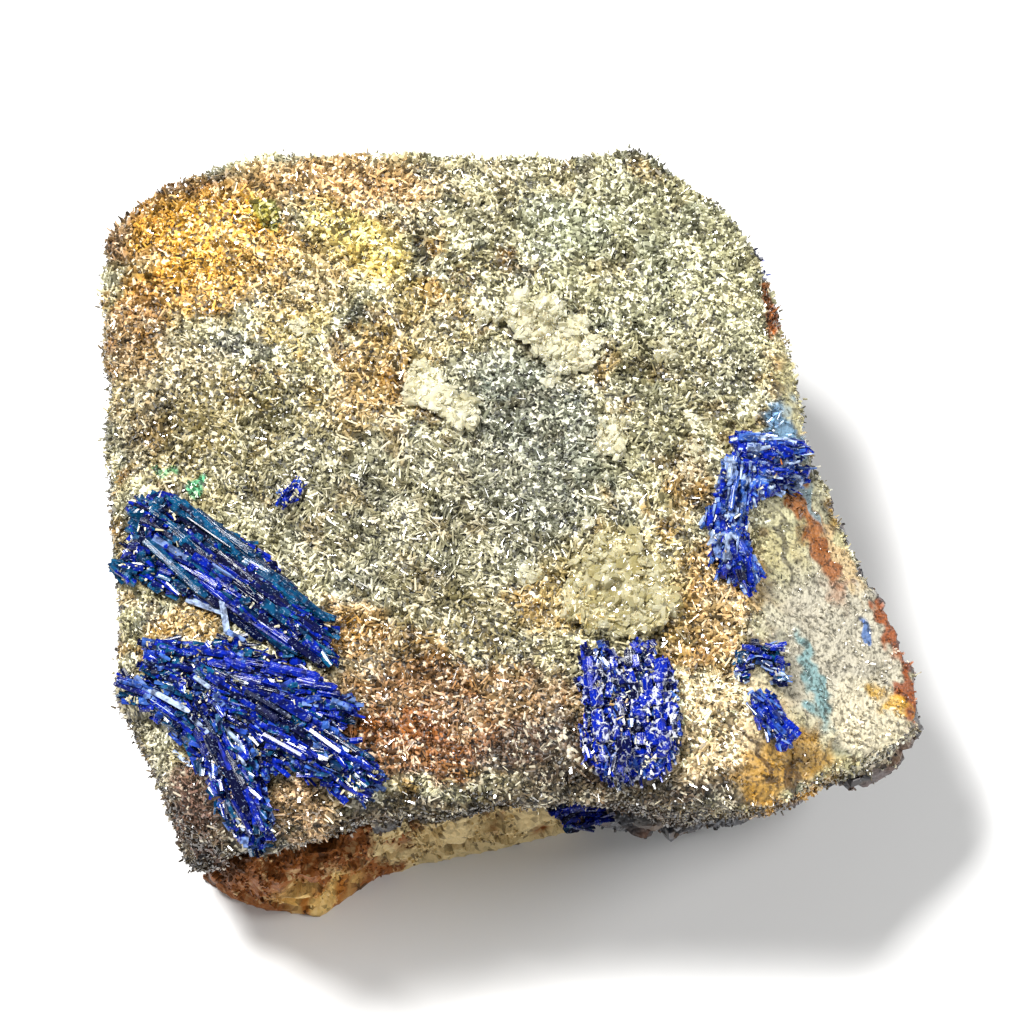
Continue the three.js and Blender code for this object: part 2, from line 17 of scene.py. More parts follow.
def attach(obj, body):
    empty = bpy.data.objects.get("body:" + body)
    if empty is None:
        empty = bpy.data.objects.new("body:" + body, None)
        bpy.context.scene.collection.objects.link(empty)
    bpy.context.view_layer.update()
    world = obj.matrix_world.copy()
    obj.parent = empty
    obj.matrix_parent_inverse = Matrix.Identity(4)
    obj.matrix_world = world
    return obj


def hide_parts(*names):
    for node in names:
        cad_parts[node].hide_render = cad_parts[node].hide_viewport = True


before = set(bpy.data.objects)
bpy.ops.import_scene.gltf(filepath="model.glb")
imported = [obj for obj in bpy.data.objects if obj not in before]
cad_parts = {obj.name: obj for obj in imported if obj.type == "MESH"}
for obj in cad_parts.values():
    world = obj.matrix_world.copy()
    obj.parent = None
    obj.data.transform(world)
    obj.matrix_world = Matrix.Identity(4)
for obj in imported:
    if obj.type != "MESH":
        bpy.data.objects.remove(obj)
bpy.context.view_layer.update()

bl_info = {
    "name": "Galena Specimen",
    "version": (1, 0, 0),
    "blender": (4, 5, 0),
    "location": "View3D > Sidebar > Specimen",
    "description": "Builds a galena hand specimen with its crust, blue blades and quartz seam",
    "category": "Object",
}

MM = 0.001
SEED = 20

# The camera of the photograph: it looks down on the laid specimen from its front.
CAMERA_TARGET = Vector((0.42, -2.25, 21.5)) * MM
CAMERA_DISTANCE = 380 * MM
CAMERA_ELEVATION = math.radians(68)
CAMERA_LENS = 197.7

# The cube faces of galena are turned by this about +Z, as the solids' cleavage steps are.
CLEAVAGE_TURN = 0.28

# The broken face at the right: a point on its edge, the heading that it falls towards and its slope.
BREAK_AT = (16.1, -11.0, 21.5)
BREAK_HEADING = math.radians(-6)
BREAK_SLOPE = math.radians(30)

BLUE_NODES = (
    "blue_blades_upper_left",
    "blue_blades_lower_left",
    "blue_block_front",
    "blue_vein_right",
    "blue_streak_lower_right",
    "blue_chips_lower_right",
    "blue_speck_centre",
    "blue_ledge_front",
)
PALE_NODES = ("pale_rosette_upper", "pale_cluster_left", "pale_cluster_right", "pale_mass_lower")
# Clusters that the crust half covers.
HALF_BURIED = ("blue_speck_centre", "blue_chips_lower_right")
# The size of the faces on the massive parts of the clusters.
CLUSTER_VOXEL = 0.24 * MM

# Stains of the crusted face, with painted shade along its front rim, in the order that they are laid
# over each other: middle x and y, half length, half width (mm), turn (degrees), colour and strength.
FACE_STAINS_AND_SHADE = (
    (9.5, 16.5, 8.0, 6.5, 30, "#bcbda0", 0.6),
    (15.5, 14.0, 3.0, 5.5, 20, "#dad6b4", 0.7),
    (2.0, 3.0, 5.0, 8.5, 10, "#6f7973", 0.75),
    (11.5, 6.5, 5.0, 5.5, 0, "#878468", 0.55),
    (-2.0, 21.5, 6.5, 3.4, 0, "#c6bfa0", 0.6),
    (4.0, 18.7, 3.4, 2.4, 20, "#dce0c8", 0.7),
    (-12.0, 22.4, 7.5, 2.4, 0, "#e6b67b", 0.75),
    (-24.5, 20.6, 5.0, 3.6, 20, "#a67850", 0.75),
    (-20.3, 18.4, 6.0, 3.6, -12, "#ebaf37", 0.85),
    (-22.3, 14.6, 4.4, 3.0, 8, "#edb141", 0.8),
    (-25.4, 11.0, 2.4, 4.2, 0, "#b07c42", 0.7),
    (-9.8, 17.6, 4.8, 2.4, -38, "#f6d97f", 0.8),
    (-14.4, 11.6, 2.4, 1.8, 20, "#e3c878", 0.6),
    (-15.0, 15.4, 5.0, 3.0, 0, "#d2b074", 0.55),
    (-22.8, 5.6, 4.6, 5.4, 0, "#9c8258", 0.55),
    (-9.3, 7.6, 3.0, 4.6, -20, "#b98836", 0.6),
    (-6.0, 12.0, 3.4, 3.6, 0, "#c0a566", 0.45),
    (-17.0, 3.0, 6.0, 5.0, 0, "#8c7f4e", 0.65),
    (-6.0, -2.5, 12.0, 6.5, -8, "#8a8772", 0.65),
    (-3.5, -10.5, 7.0, 3.6, 0, "#80734a", 0.7),
    (-10.3, -10.6, 2.6, 1.9, 0, "#c08a3a", 0.6),
    (3.2, -8.8, 3.2, 2.6, 0, "#b9924a", 0.6),
    (8.2, -7.6, 5.8, 4.6, 0, "#cbb577", 0.6),
    (12.6, -0.2, 1.6, 3.0, 0, "#a8834e", 0.5),
    (-7.4, -13.2, 4.6, 2.8, -10, "#9c7444", 0.6),
    (-2.6, -16.2, 9.5, 3.2, -4, "#a06b3d", 0.7),
    # Painted shade: these three dark stains along the front rim stand for the shade in the crevice under it.
    (8.5, -21.6, 9.0, 1.6, 0, "#5f4a3c", 0.8),
    (-3.0, -22.8, 7.0, 1.1, 3, "#43301f", 0.8),
    (-15.0, -23.0, 9.0, 1.6, -10, "#6f5443", 0.6),
    (-7.0, -18.6, 7.0, 2.2, -8, "#985820", 0.85),
    (2.4, -19.2, 4.6, 2.4, 0, "#4e3a30", 0.85),
    (13.6, -8.8, 2.6, 4.4, 0, "#d8a664", 0.6),
    (13.6, -17.4, 5.8, 3.8, 0, "#ffe4bc", 1.0),
    (-21.0, -10.0, 2.6, 1.6, 30, "#d0a04c", 0.7),
    (-19.6, -21.2, 2.6, 2.8, 0, "#9a7468", 0.75),
    (-13.8, -22.4, 2.9, 1.9, 0, "#c6ac86", 0.85),
    (-22.6, 1.4, 0.8, 0.4, 20, "#3f9a68", 0.8),
    (-20.7, -0.3, 1.0, 0.6, 40, "#46ad7c", 0.9),
    (-16.8, 19.9, 1.4, 0.7, 0, "#7a9a4a", 0.6),
)
# Spots all over the crust: size (mm), a shift that tells them apart (mm), colour and strength.
CRUST_SPOTS = (
    (2.4, 40, "#b38c48", 0.75),
    (1.3, 80, "#75552c", 0.65),
    (2.8, 120, "#72786f", 0.75),
    (2.0, 160, "#f2ecd0", 0.8),
    (3.4, 200, "#d9d2ae", 0.7),
)
# Stains laid over the dark rim: one at its front left, and those of the broken face at the right.
BREAK_STAINS = (
    (-13.8, -22.8, 2.8, 1.6, 0, "#dcb48c", 0.7),
    (22.4, -11.0, 5.4, 6.4, 0, "#d6cec4", 0.95),
    (24.6, -15.4, 3.4, 2.6, 30, "#f2e6d2", 0.9),
    (18.6, -20.2, 3.4, 2.0, 30, "#c8963a", 0.85),
    (17.0, -19.6, 0.35, 2.6, 35, "#4e3214", 0.8),
    (19.6, -21.6, 0.35, 1.8, 30, "#4e3214", 0.8),
    (18.4, -4.4, 0.35, 2.8, 20, "#4c4438", 0.7),
    (16.4, -11.6, 0.4, 2.6, 10, "#5a4632", 0.7),
    (20.7, -2.6, 1.1, 5.2, 24, "#aa5c14", 0.9),
    (22.6, -4.4, 0.5, 3.4, 30, "#e6c9a0", 0.8),
    (26.6, -8.6, 0.7, 3.2, 20, "#a8541c", 0.95),
    (27.4, -12.4, 0.8, 2.2, -6, "#9c4c1c", 0.95),
    (20.6, -13.6, 0.8, 3.4, 20, "#84aebc", 0.9),
    (19.0, 3.9, 1.5, 2.2, 14, "#7fa9d8", 0.95),
    (20.6, -0.6, 0.5, 2.0, 14, "#8fb5cf", 0.8),
    (24.4, -8.9, 0.35, 0.8, 0, "#4a76c4", 0.9),
    (26.1, -13.7, 1.2, 0.9, 20, "#efb92c", 0.8),
    (17.6, 17.4, 0.5, 1.6, 24, "#1b3cae", 0.9),
    (18.6, 13.6, 0.6, 1.8, 8, "#b9601c", 0.9),
)


def linear(hex_colour):
    """A colour written as sRGB hex, as the linear values that the nodes take."""
    channels = [int(hex_colour[i : i + 2], 16) / 255 for i in (1, 3, 5)]
    return tuple(c / 12.92 if c <= 0.04045 else ((c + 0.055) / 1.055) ** 2.4 for c in channels) + (1.0,)


# How the stains' edges wander in tongues and fray at the grains: size and reach (mm) and detail.
STAIN_WANDER = ((4.5, 3.6, 1.0), (0.9, 1.8, 0.0))
# Shares of a stain's half length and half width between which it fades out.
STAIN_EDGE = (0.65, 1.25)
# What darkens the crust over the rim all round, partly the brown of the druse there and partly painted shade,
# and the painted shade once more at the front.
RIM_BROWN_AND_SHADE = linear("#5c4a38")
RIM_FRONT_SHADE = linear("#3a2a20")
# How bright the crystals of the crust are against the stains and painted shade of their place, from the
# darkest tint on.
BRIGHTEST = 1.6
CRUST_BRIGHTNESS = ((0.0, "#262620"), (0.3, "#67665c"), (0.6, "#b4b4a8"), (0.85, "#ffffff"))
# Which of the panel's colours a blade has, from the lowest tint on.
BLADE_COLOURS = (
    (0.0, "teal"),
    (0.14, "teal"),
    (0.24, "navy"),
    (0.34, "navy"),
    (0.42, "royal"),
    (0.62, "royal"),
    (0.76, "sky"),
    (0.92, "ice"),
)
# Middles (mm) of the net of films on the front block and of the yellow lump at the seam's left tip.
BLOCK_NET = (8.2, -17, 19)
SEAM_TIP = (-12.6, -24.0, 3)


def size_property(name, description, default, smallest):
    return bpy.props.FloatProperty(
        name=name, description=description, default=default * MM, min=smallest * MM, unit="LENGTH"
    )


class SpecimenSizes(bpy.types.PropertyGroup):
    """Sizes that a user would change."""

    rock_voxel: size_property("Rock detail", "Distance between points of the rock's surface", 0.34, 0.2)
    grain: size_property("Crust grain", "Width of an ordinary crystal of the crust", 0.28, 0.1)
    lath: size_property("Crust lath", "Length of an ordinary lath of the crust", 0.75, 0.2)
    cube: size_property("Galena cube", "Width of an ordinary cube on the sides", 0.55, 0.2)
    seam_voxel: size_property("Seam detail", "Distance between points of the seam's surface", 0.22, 0.1)


def colour_property(name, description, hex_colour):
    return bpy.props.FloatVectorProperty(
        name=name, description=description, subtype="COLOR", size=4, min=0, max=1, default=linear(hex_colour)
    )


class SpecimenColours(bpy.types.PropertyGroup):
    """Colours that a user would change."""

    crust: colour_property("Crust", "Clean crust between the stains", "#b7ae88")
    crust_pale: colour_property("Pale crystals", "The whitest crystals of the crust", "#f6efd2")
    galena: colour_property("Galena", "Fresh lead-grey galena", "#75767a")
    galena_dull: colour_property("Dull galena", "Weathered galena", "#2a231d")
    royal: colour_property("Royal blue", "The blue of most blades", "#03209a")
    navy: colour_property("Navy", "The blue in the depth of the clusters", "#02052a")
    teal: colour_property("Teal", "The blue at the tips of some blades", "#084e74")
    sky: colour_property("Sky blue", "The lighter blades", "#3a64b0")
    ice: colour_property("Ice blue", "The palest blades", "#a9bbd9")
    pale: colour_property("Pale crystal", "The pale rosettes", "#fbf5d4")
    pale_core: colour_property("Pale core", "The depth of the pale rosettes", "#a89c66")
    quartz: colour_property("Quartz", "Clean vein quartz", "#d4bd8a")
    limonite: colour_property("Limonite", "The rusty stain of the seam", "#8e4600")
    floor: colour_property("Floor", "The floor that the specimen lies on", "#e9e8e6")


def sizes():
    return bpy.context.scene.specimen_sizes


def colours():
    return bpy.context.scene.specimen_colours


def add(tree, kind, links=None, **settings):
    """Adds a node with its settings; links maps input names or numbers to sockets or values."""
    made = tree.nodes.new(kind)
    for key, value in settings.items():
        setattr(made, key, value)
    for key, value in (links or {}).items():
        if isinstance(value, bpy.types.NodeSocket):
            tree.links.new(value, made.inputs[key])
        else:
            made.inputs[key].default_value = value
    return made


COLOUR_MIX = {"data_type": "RGBA", "clamp_result": True}


def shader_tree(name):
    """A new material with an empty tree."""
    material = bpy.data.materials.new(name)
    material.use_nodes = True
    material.node_tree.nodes.clear()
    return material, material.node_tree


def surfaced(material, tree, values):
    """Ends a material's tree in one shader with these values."""
    surface = add(tree, "ShaderNodeBsdfPrincipled", values)
    add(tree, "ShaderNodeOutputMaterial", {"Surface": surface.outputs[0]})
    return material


def patches(tree, place, size, low, high, most=1.0, detail=2.0):
    """How far a place lies in soft patches of a size in mm, from 0 to most."""
    cloud = add(tree, "ShaderNodeTexNoise", {"Vector": place, "Scale": 1 / (size * MM), "Detail": detail})
    spread = {"Value": cloud.outputs["Fac"], "From Min": low, "From Max": high, "To Max": most}
    return add(tree, "ShaderNodeMapRange", spread).outputs[0]


def patched(tree, place, colour, second, *patch):
    """A colour with soft patches of a second one."""
    share = patches(tree, place, *patch)
    return add(tree, "ShaderNodeMix", {0: share, 6: colour, 7: second}, **COLOUR_MIX).outputs[2]


def nearby(tree, place, middle, far, near, most):
    """How close a place lies to a middle in mm, from 0 at far to most at near."""
    away = add(
        tree,
        "ShaderNodeVectorMath",
        {0: place, 1: [part * MM for part in middle]},
        operation="DISTANCE",
    )
    spread = {"Value": away.outputs["Value"], "From Min": far * MM, "From Max": near * MM, "To Max": most}
    return add(tree, "ShaderNodeMapRange", spread).outputs[0]


def grainy_cells(tree, place, size):
    """Cells of a size in mm: their texture, and a random value for each from 0 to 1."""
    cells = add(tree, "ShaderNodeTexVoronoi", {"Vector": place, "Scale": 1 / (size * MM)})
    return cells, add(tree, "ShaderNodeSeparateColor", {0: cells.outputs["Color"]}).outputs[0]


def darkened_rim_with_shade(tree, place, colour, front_only):
    """The colour darkened over the rim and down the sides, partly the brown of the druse there and partly
    painted shade; with front_only, painted shade on the front rim alone.
    """
    split = add(tree, "ShaderNodeSeparateXYZ", {"Vector": place})
    past_break = add(
        tree, "ShaderNodeMath", {0: split.outputs["X"], 1: BREAK_AT[0] * MM}, operation="SUBTRACT"
    )
    fall = add(tree, "ShaderNodeMath", {0: past_break.outputs[0], 1: 0.0}, operation="MAXIMUM")
    height = add(
        tree,
        "ShaderNodeMath",
        {0: fall.outputs[0], 1: math.tan(BREAK_SLOPE), 2: split.outputs["Z"]},
        operation="MULTIPLY_ADD",
    )
    spread = {"Value": height.outputs[0], "From Min": 20 * MM, "From Max": 16.6 * MM, "To Max": 0.86}
    share = add(tree, "ShaderNodeMapRange", spread).outputs[0]
    if not front_only:
        return add(tree, "ShaderNodeMix", {0: share, 6: colour, 7: RIM_BROWN_AND_SHADE}, **COLOUR_MIX).outputs[2]
    spread = {"Value": split.outputs["Y"], "From Min": -18 * MM, "From Max": -22 * MM, "To Max": 0.45}
    in_front = add(tree, "ShaderNodeMapRange", spread).outputs[0]
    share = add(tree, "ShaderNodeMath", {0: share, 1: in_front}, operation="MULTIPLY").outputs[0]
    return add(tree, "ShaderNodeMix", {0: share, 6: colour, 7: RIM_FRONT_SHADE}, **COLOUR_MIX).outputs[2]


def laid_stains(tree, place, colour, stains):
    """The colour with stains laid over it, each an ellipse with a soft edge; on the face some of them are
    painted shade.
    """
    for x, y, half_length, half_width, turn, stain_and_shade, strength in stains:
        c, s = math.cos(math.radians(turn)), math.sin(math.radians(turn))
        along = np.array([c, s, 0]) / (half_length * MM)
        across = np.array([-s, c, 0]) / (half_width * MM)
        parts = [
            add(tree, "ShaderNodeVectorMath", {0: place, 1: axis.tolist()}, operation="DOT_PRODUCT")
            for axis in (along, across)
        ]
        local = add(
            tree, "ShaderNodeCombineXYZ", {"X": parts[0].outputs["Value"], "Y": parts[1].outputs["Value"]}
        )
        middle = np.array([x, y, 0]) * MM
        distance = add(
            tree,
            "ShaderNodeVectorMath",
            {0: local.outputs[0], 1: (float(along @ middle), float(across @ middle), 0)},
            operation="DISTANCE",
        )
        spread = {
            "Value": distance.outputs["Value"],
            "From Min": STAIN_EDGE[1],
            "From Max": STAIN_EDGE[0],
            "To Max": strength,
        }
        share = add(tree, "ShaderNodeMapRange", spread, interpolation_type="SMOOTHSTEP").outputs[0]
        colour = add(tree, "ShaderNodeMix", {0: share, 6: colour, 7: linear(stain_and_shade)}, **COLOUR_MIX).outputs[2]
    return colour


def stain_and_shade_colours():
    """Node group: the colour that the crust has at a place on the specimen, stains and painted shade
    included.
    """
    name = "crust_stains"
    if name in bpy.data.node_groups:
        return bpy.data.node_groups[name]
    tree = bpy.data.node_groups.new(name, "ShaderNodeTree")
    tree.interface.new_socket("Place", in_out="INPUT", socket_type="NodeSocketVector")
    tree.interface.new_socket("Colour", in_out="OUTPUT", socket_type="NodeSocketColor")
    place = add(tree, "NodeGroupInput").outputs["Place"]
    moved = place
    for size, reach, detail in STAIN_WANDER:
        cloud = {"Vector": place, "Scale": 1 / (size * MM), "Detail": detail}
        texture = add(tree, "ShaderNodeTexNoise", cloud)
        middled = add(
            tree,
            "ShaderNodeVectorMath",
            {0: texture.outputs["Color"], 1: (0.5, 0.5, 0.5)},
            operation="SUBTRACT",
        )
        moved = add(
            tree,
            "ShaderNodeVectorMath",
            {0: middled.outputs[0], 1: (reach * MM, reach * MM, reach * MM), 2: moved},
            operation="MULTIPLY_ADD",
        ).outputs[0]
    # Clean crust drifts between greyer and creamier over about 6 mm.
    colour = patched(tree, place, colours().crust, linear("#cdc299"), 6, 0.38, 0.62)
    # Small ochre, brown and grey spots are scattered through it.
    for size, shift, spot, strength in CRUST_SPOTS:
        shifted = add(tree, "ShaderNodeVectorMath", {0: place, 1: (shift * MM, 0, 0)}, operation="ADD")
        colour = patched(tree, shifted.outputs[0], colour, linear(spot), size, 0.54, 0.62, strength, 0.0)
    # Partly the brown of the druse and partly painted shade: the crust darkens over the rim and down the
    # sides.
    colour = darkened_rim_with_shade(tree, moved, colour, front_only=False)
    colour = laid_stains(tree, moved, colour, FACE_STAINS_AND_SHADE)
    # Painted shade: the front rim is darker than the others, also where it is stained.
    colour = darkened_rim_with_shade(tree, moved, colour, front_only=True)
    colour = laid_stains(tree, moved, colour, BREAK_STAINS)
    add(tree, "NodeGroupOutput", {"Colour": colour})
    return tree


def stains_and_shade_here(tree):
    """The shaded point and the colour of stains and painted shade at it."""
    place = add(tree, "ShaderNodeTexCoord").outputs["Object"]
    stain_and_shade = add(tree, "ShaderNodeGroup", node_tree=stain_and_shade_colours())
    tree.links.new(place, stain_and_shade.inputs["Place"])
    return place, stain_and_shade.outputs["Colour"]


def set_stops(ramp, stops):
    """Gives a colour ramp its stops: position and colour each."""
    elements = ramp.color_ramp.elements
    while len(elements) < len(stops):
        elements.new(0.5)
    for element, (position, colour) in zip(elements, stops):
        element.position = position
        element.color = linear(colour) if isinstance(colour, str) else colour


def druse_colour(tree, stain_and_shade, tint):
    """The colour of a crystal of the crust: nearly black, nearly white, or with the stains and painted shade
    of its place, by its tint.
    """
    ramp = add(tree, "ShaderNodeValToRGB", {"Fac": tint})
    set_stops(ramp, CRUST_BRIGHTNESS)
    shaded = add(tree, "ShaderNodeVectorMath", {0: stain_and_shade, 1: ramp.outputs["Color"]}, operation="MULTIPLY")
    bright = add(
        tree, "ShaderNodeVectorMath", {0: shaded.outputs[0], "Scale": BRIGHTEST}, operation="SCALE"
    ).outputs[0]
    spread = {"Value": tint, "From Min": 0.78, "From Max": 0.9, "To Max": 0.6}
    white = add(tree, "ShaderNodeMapRange", spread).outputs[0]
    return add(tree, "ShaderNodeMix", {0: white, 6: bright, 7: colours().crust_pale}, **COLOUR_MIX).outputs[2]


def crusted_galena():
    """Galena, broken along its cubes and weathered, under a crust of fine crystals.

    The eye gets dark metallic sides with dull brown hollows and near-black pits of painted shade, a sugary
    floor of 0.25 mm grains between the crystals of the face, and a chalky broken face at the right.
    """
    material, tree = shader_tree("Galena, cleaved and weathered")
    place, stain_and_shade = stains_and_shade_here(tree)
    crusted, broken = (
        add(tree, "ShaderNodeAttribute", attribute_name=name).outputs["Fac"] for name in ("crusted", "broken")
    )
    cells, cell_value = grainy_cells(tree, place, 0.25)
    chalk = add(tree, "ShaderNodeTexNoise", {"Vector": place, "Scale": 1 / (0.3 * MM), "Detail": 2.0})
    spread = {"Value": chalk.outputs["Fac"], "From Min": 0.36, "From Max": 0.5, "To Min": 0.3, "To Max": 0.58}
    chalk_value = add(tree, "ShaderNodeMapRange", spread).outputs[0]
    tint = add(tree, "ShaderNodeMix", {0: broken, 2: cell_value, 3: chalk_value}, data_type="FLOAT")
    druse = druse_colour(tree, stain_and_shade, tint.outputs[0])
    weathered = patches(tree, place, 3.2, 0.42, 0.6, 1.0, 3.0)
    tarnished = {0: weathered, 6: colours().galena, 7: colours().galena_dull}
    metal = add(tree, "ShaderNodeMix", tarnished, **COLOUR_MIX).outputs[2]
    # Rust has spread over the sides in patches.
    side = patched(tree, place, metal, linear("#6f4526"), 5.5, 0.52, 0.66, 0.85, 3.0)
    # Painted shade: one grain in two stands for a pit and is darkened, the more the lower its value.
    spread = {"Value": cell_value, "From Max": 0.5, "To Min": 0.7, "To Max": 0.0}
    pit_shade = add(tree, "ShaderNodeMapRange", spread).outputs[0]
    pit_shaded = add(tree, "ShaderNodeMix", {0: pit_shade, 6: side, 7: linear("#15110e")}, **COLOUR_MIX).outputs[2]
    base = add(tree, "ShaderNodeMix", {0: crusted, 6: pit_shaded, 7: druse}, **COLOUR_MIX).outputs[2]
    bump = add(
        tree,
        "ShaderNodeBump",
        {"Height": cells.outputs["Distance"], "Strength": 0.7, "Distance": 0.12 * MM},
        invert=True,
    )
    spread = {"Value": crusted, "From Max": 0.5, "To Min": 0.7, "To Max": 0.0}
    shine = add(tree, "ShaderNodeMapRange", spread).outputs[0]
    metallic = add(tree, "ShaderNodeMath", {0: shine, 1: weathered}, operation="SUBTRACT", use_clamp=True)
    looks = {
        "Base Color": base,
        "Metallic": metallic.outputs[0],
        "Roughness": 0.46,
        "Normal": bump.outputs[0],
    }
    return surfaced(material, tree, looks)


def galena_cube_metal():
    """Galena cubes, grown and lightly tarnished: the eye gets small dark mirrors with soft edges."""
    material, tree = shader_tree("Galena, crystal faces")
    place = add(tree, "ShaderNodeTexCoord").outputs["Object"]
    tint = add(tree, "ShaderNodeAttribute", attribute_name="tint").outputs["Fac"]
    tarnished = {0: tint, 6: colours().galena_dull, 7: colours().galena}
    metal = add(tree, "ShaderNodeMix", tarnished, **COLOUR_MIX).outputs[2]
    # Brown dust has settled on some of the cubes.
    dusty = patches(tree, place, 2.4, 0.5, 0.62, 1.0, 3.0)
    base = add(tree, "ShaderNodeMix", {0: dusty, 6: metal, 7: linear("#5c4a3a")}, **COLOUR_MIX).outputs[2]
    metallic = add(tree, "ShaderNodeMath", {0: 1.0, 1: dusty}, operation="SUBTRACT", use_clamp=True)
    looks = {"Base Color": base, "Metallic": metallic.outputs[0], "Roughness": 0.34}
    return surfaced(material, tree, looks)


def crust_crystal():
    """Lead carbonate, grown as a druse: the eye gets a sugary crust with sharp white sparks.

    A few crystals are nearly white or nearly black, and the rest take the stains and painted shade of their
    place.
    """
    material, tree = shader_tree("Cerussite, drusy crystals")
    _, stain_and_shade = stains_and_shade_here(tree)
    tint = add(tree, "ShaderNodeAttribute", attribute_name="tint").outputs["Fac"]
    looks = {"Base Color": druse_colour(tree, stain_and_shade, tint), "Roughness": 0.12, "IOR": 2.0}
    return surfaced(material, tree, looks)


def blue_crystal():
    """A blue copper carbonate, grown as striated blades: the eye gets deep glassy blue with pale glints.

    The tint of a blade runs from teal through navy, royal blue and sky blue to ice blue.
    """
    material, tree = shader_tree("Azurite, striated blades")
    tint = add(tree, "ShaderNodeAttribute", attribute_name="tint").outputs["Fac"]
    ramp = add(tree, "ShaderNodeValToRGB", {"Fac": tint})
    set_stops(ramp, [(position, getattr(colours(), name)) for position, name in BLADE_COLOURS])
    # Growth lines 0.09 mm apart run along each blade.
    along = add(tree, "ShaderNodeUVMap", uv_map="blade")
    stretched = add(
        tree,
        "ShaderNodeVectorMath",
        {0: along.outputs[0], 1: (1 / (0.09 * MM), 1 / (2.5 * MM), 1.0)},
        operation="MULTIPLY",
    )
    lines = add(tree, "ShaderNodeTexNoise", {"Vector": stretched.outputs[0], "Scale": 1.0, "Detail": 2.0})
    place = add(tree, "ShaderNodeTexCoord").outputs["Object"]
    dappled = patched(tree, place, ramp.outputs["Color"], colours().navy, 0.5, 0.42, 0.62, 0.8)
    # Frost: specks 0.16 mm across, where finer pale crystals have grown on the blades.
    frosted = patched(tree, place, dappled, colours().ice, 0.16, 0.62, 0.74, 0.5, 1.0)
    # A net of white films, 0.8 mm wide in its mesh, has grown along the cracks of the front block.
    bend = add(tree, "ShaderNodeTexNoise", {"Vector": place, "Scale": 1 / (0.5 * MM), "Detail": 2.0})
    bent = add(
        tree,
        "ShaderNodeVectorMath",
        {0: bend.outputs["Color"], 1: (0.8 * MM, 0.8 * MM, 0.8 * MM), 2: place},
        operation="MULTIPLY_ADD",
    )
    net = add(
        tree,
        "ShaderNodeTexVoronoi",
        {"Vector": bent.outputs[0], "Scale": 1 / (0.8 * MM)},
        feature="DISTANCE_TO_EDGE",
    )
    uneven = patches(tree, place, 0.5, 0.4, 0.65, 0.13)
    inside = add(tree, "ShaderNodeMath", {0: uneven, 1: net.outputs["Distance"]}, operation="SUBTRACT")
    near_crack = add(tree, "ShaderNodeMapRange", {"Value": inside.outputs[0], "From Max": 0.04}).outputs[0]
    in_patch = nearby(tree, place, BLOCK_NET, 6.5, 5, 0.7)
    net_share = add(tree, "ShaderNodeMath", {0: near_crack, 1: in_patch}, operation="MULTIPLY").outputs[0]
    base = add(tree, "ShaderNodeMix", {0: net_share, 6: frosted, 7: linear("#dfe2ea")}, **COLOUR_MIX)
    ridges = {"Height": lines.outputs["Fac"], "Strength": 0.9, "Distance": 0.07 * MM}
    bump = add(tree, "ShaderNodeBump", ridges)
    looks = {
        "Base Color": base.outputs[2],
        "Roughness": 0.18,
        "IOR": 1.6,
        "Specular IOR Level": 0.3,
        "Normal": bump.outputs[0],
    }
    return surfaced(material, tree, looks)


def pale_crystal():
    """A clear lead mineral in thick tablets: the eye gets resinous, glowing pale yellow."""
    material, tree = shader_tree("Cerussite, translucent tablets")
    place, stain_and_shade = stains_and_shade_here(tree)
    tint = add(tree, "ShaderNodeAttribute", attribute_name="tint").outputs["Fac"]
    clearness = {0: tint, 6: colours().pale_core, 7: colours().pale}
    clear = add(tree, "ShaderNodeMix", clearness, **COLOUR_MIX).outputs[2]
    looks = {
        "Base Color": patched(tree, place, clear, stain_and_shade, 0.8, 0.42, 0.62, 0.3, 3.0),
        "Roughness": 0.1,
        "IOR": 1.85,
        "Transmission Weight": 0.3,
        "Subsurface Weight": 0.25,
        "Subsurface Radius": (1.2, 1.0, 0.6),
        "Subsurface Scale": 0.6 * MM,
    }
    return surfaced(material, tree, looks)


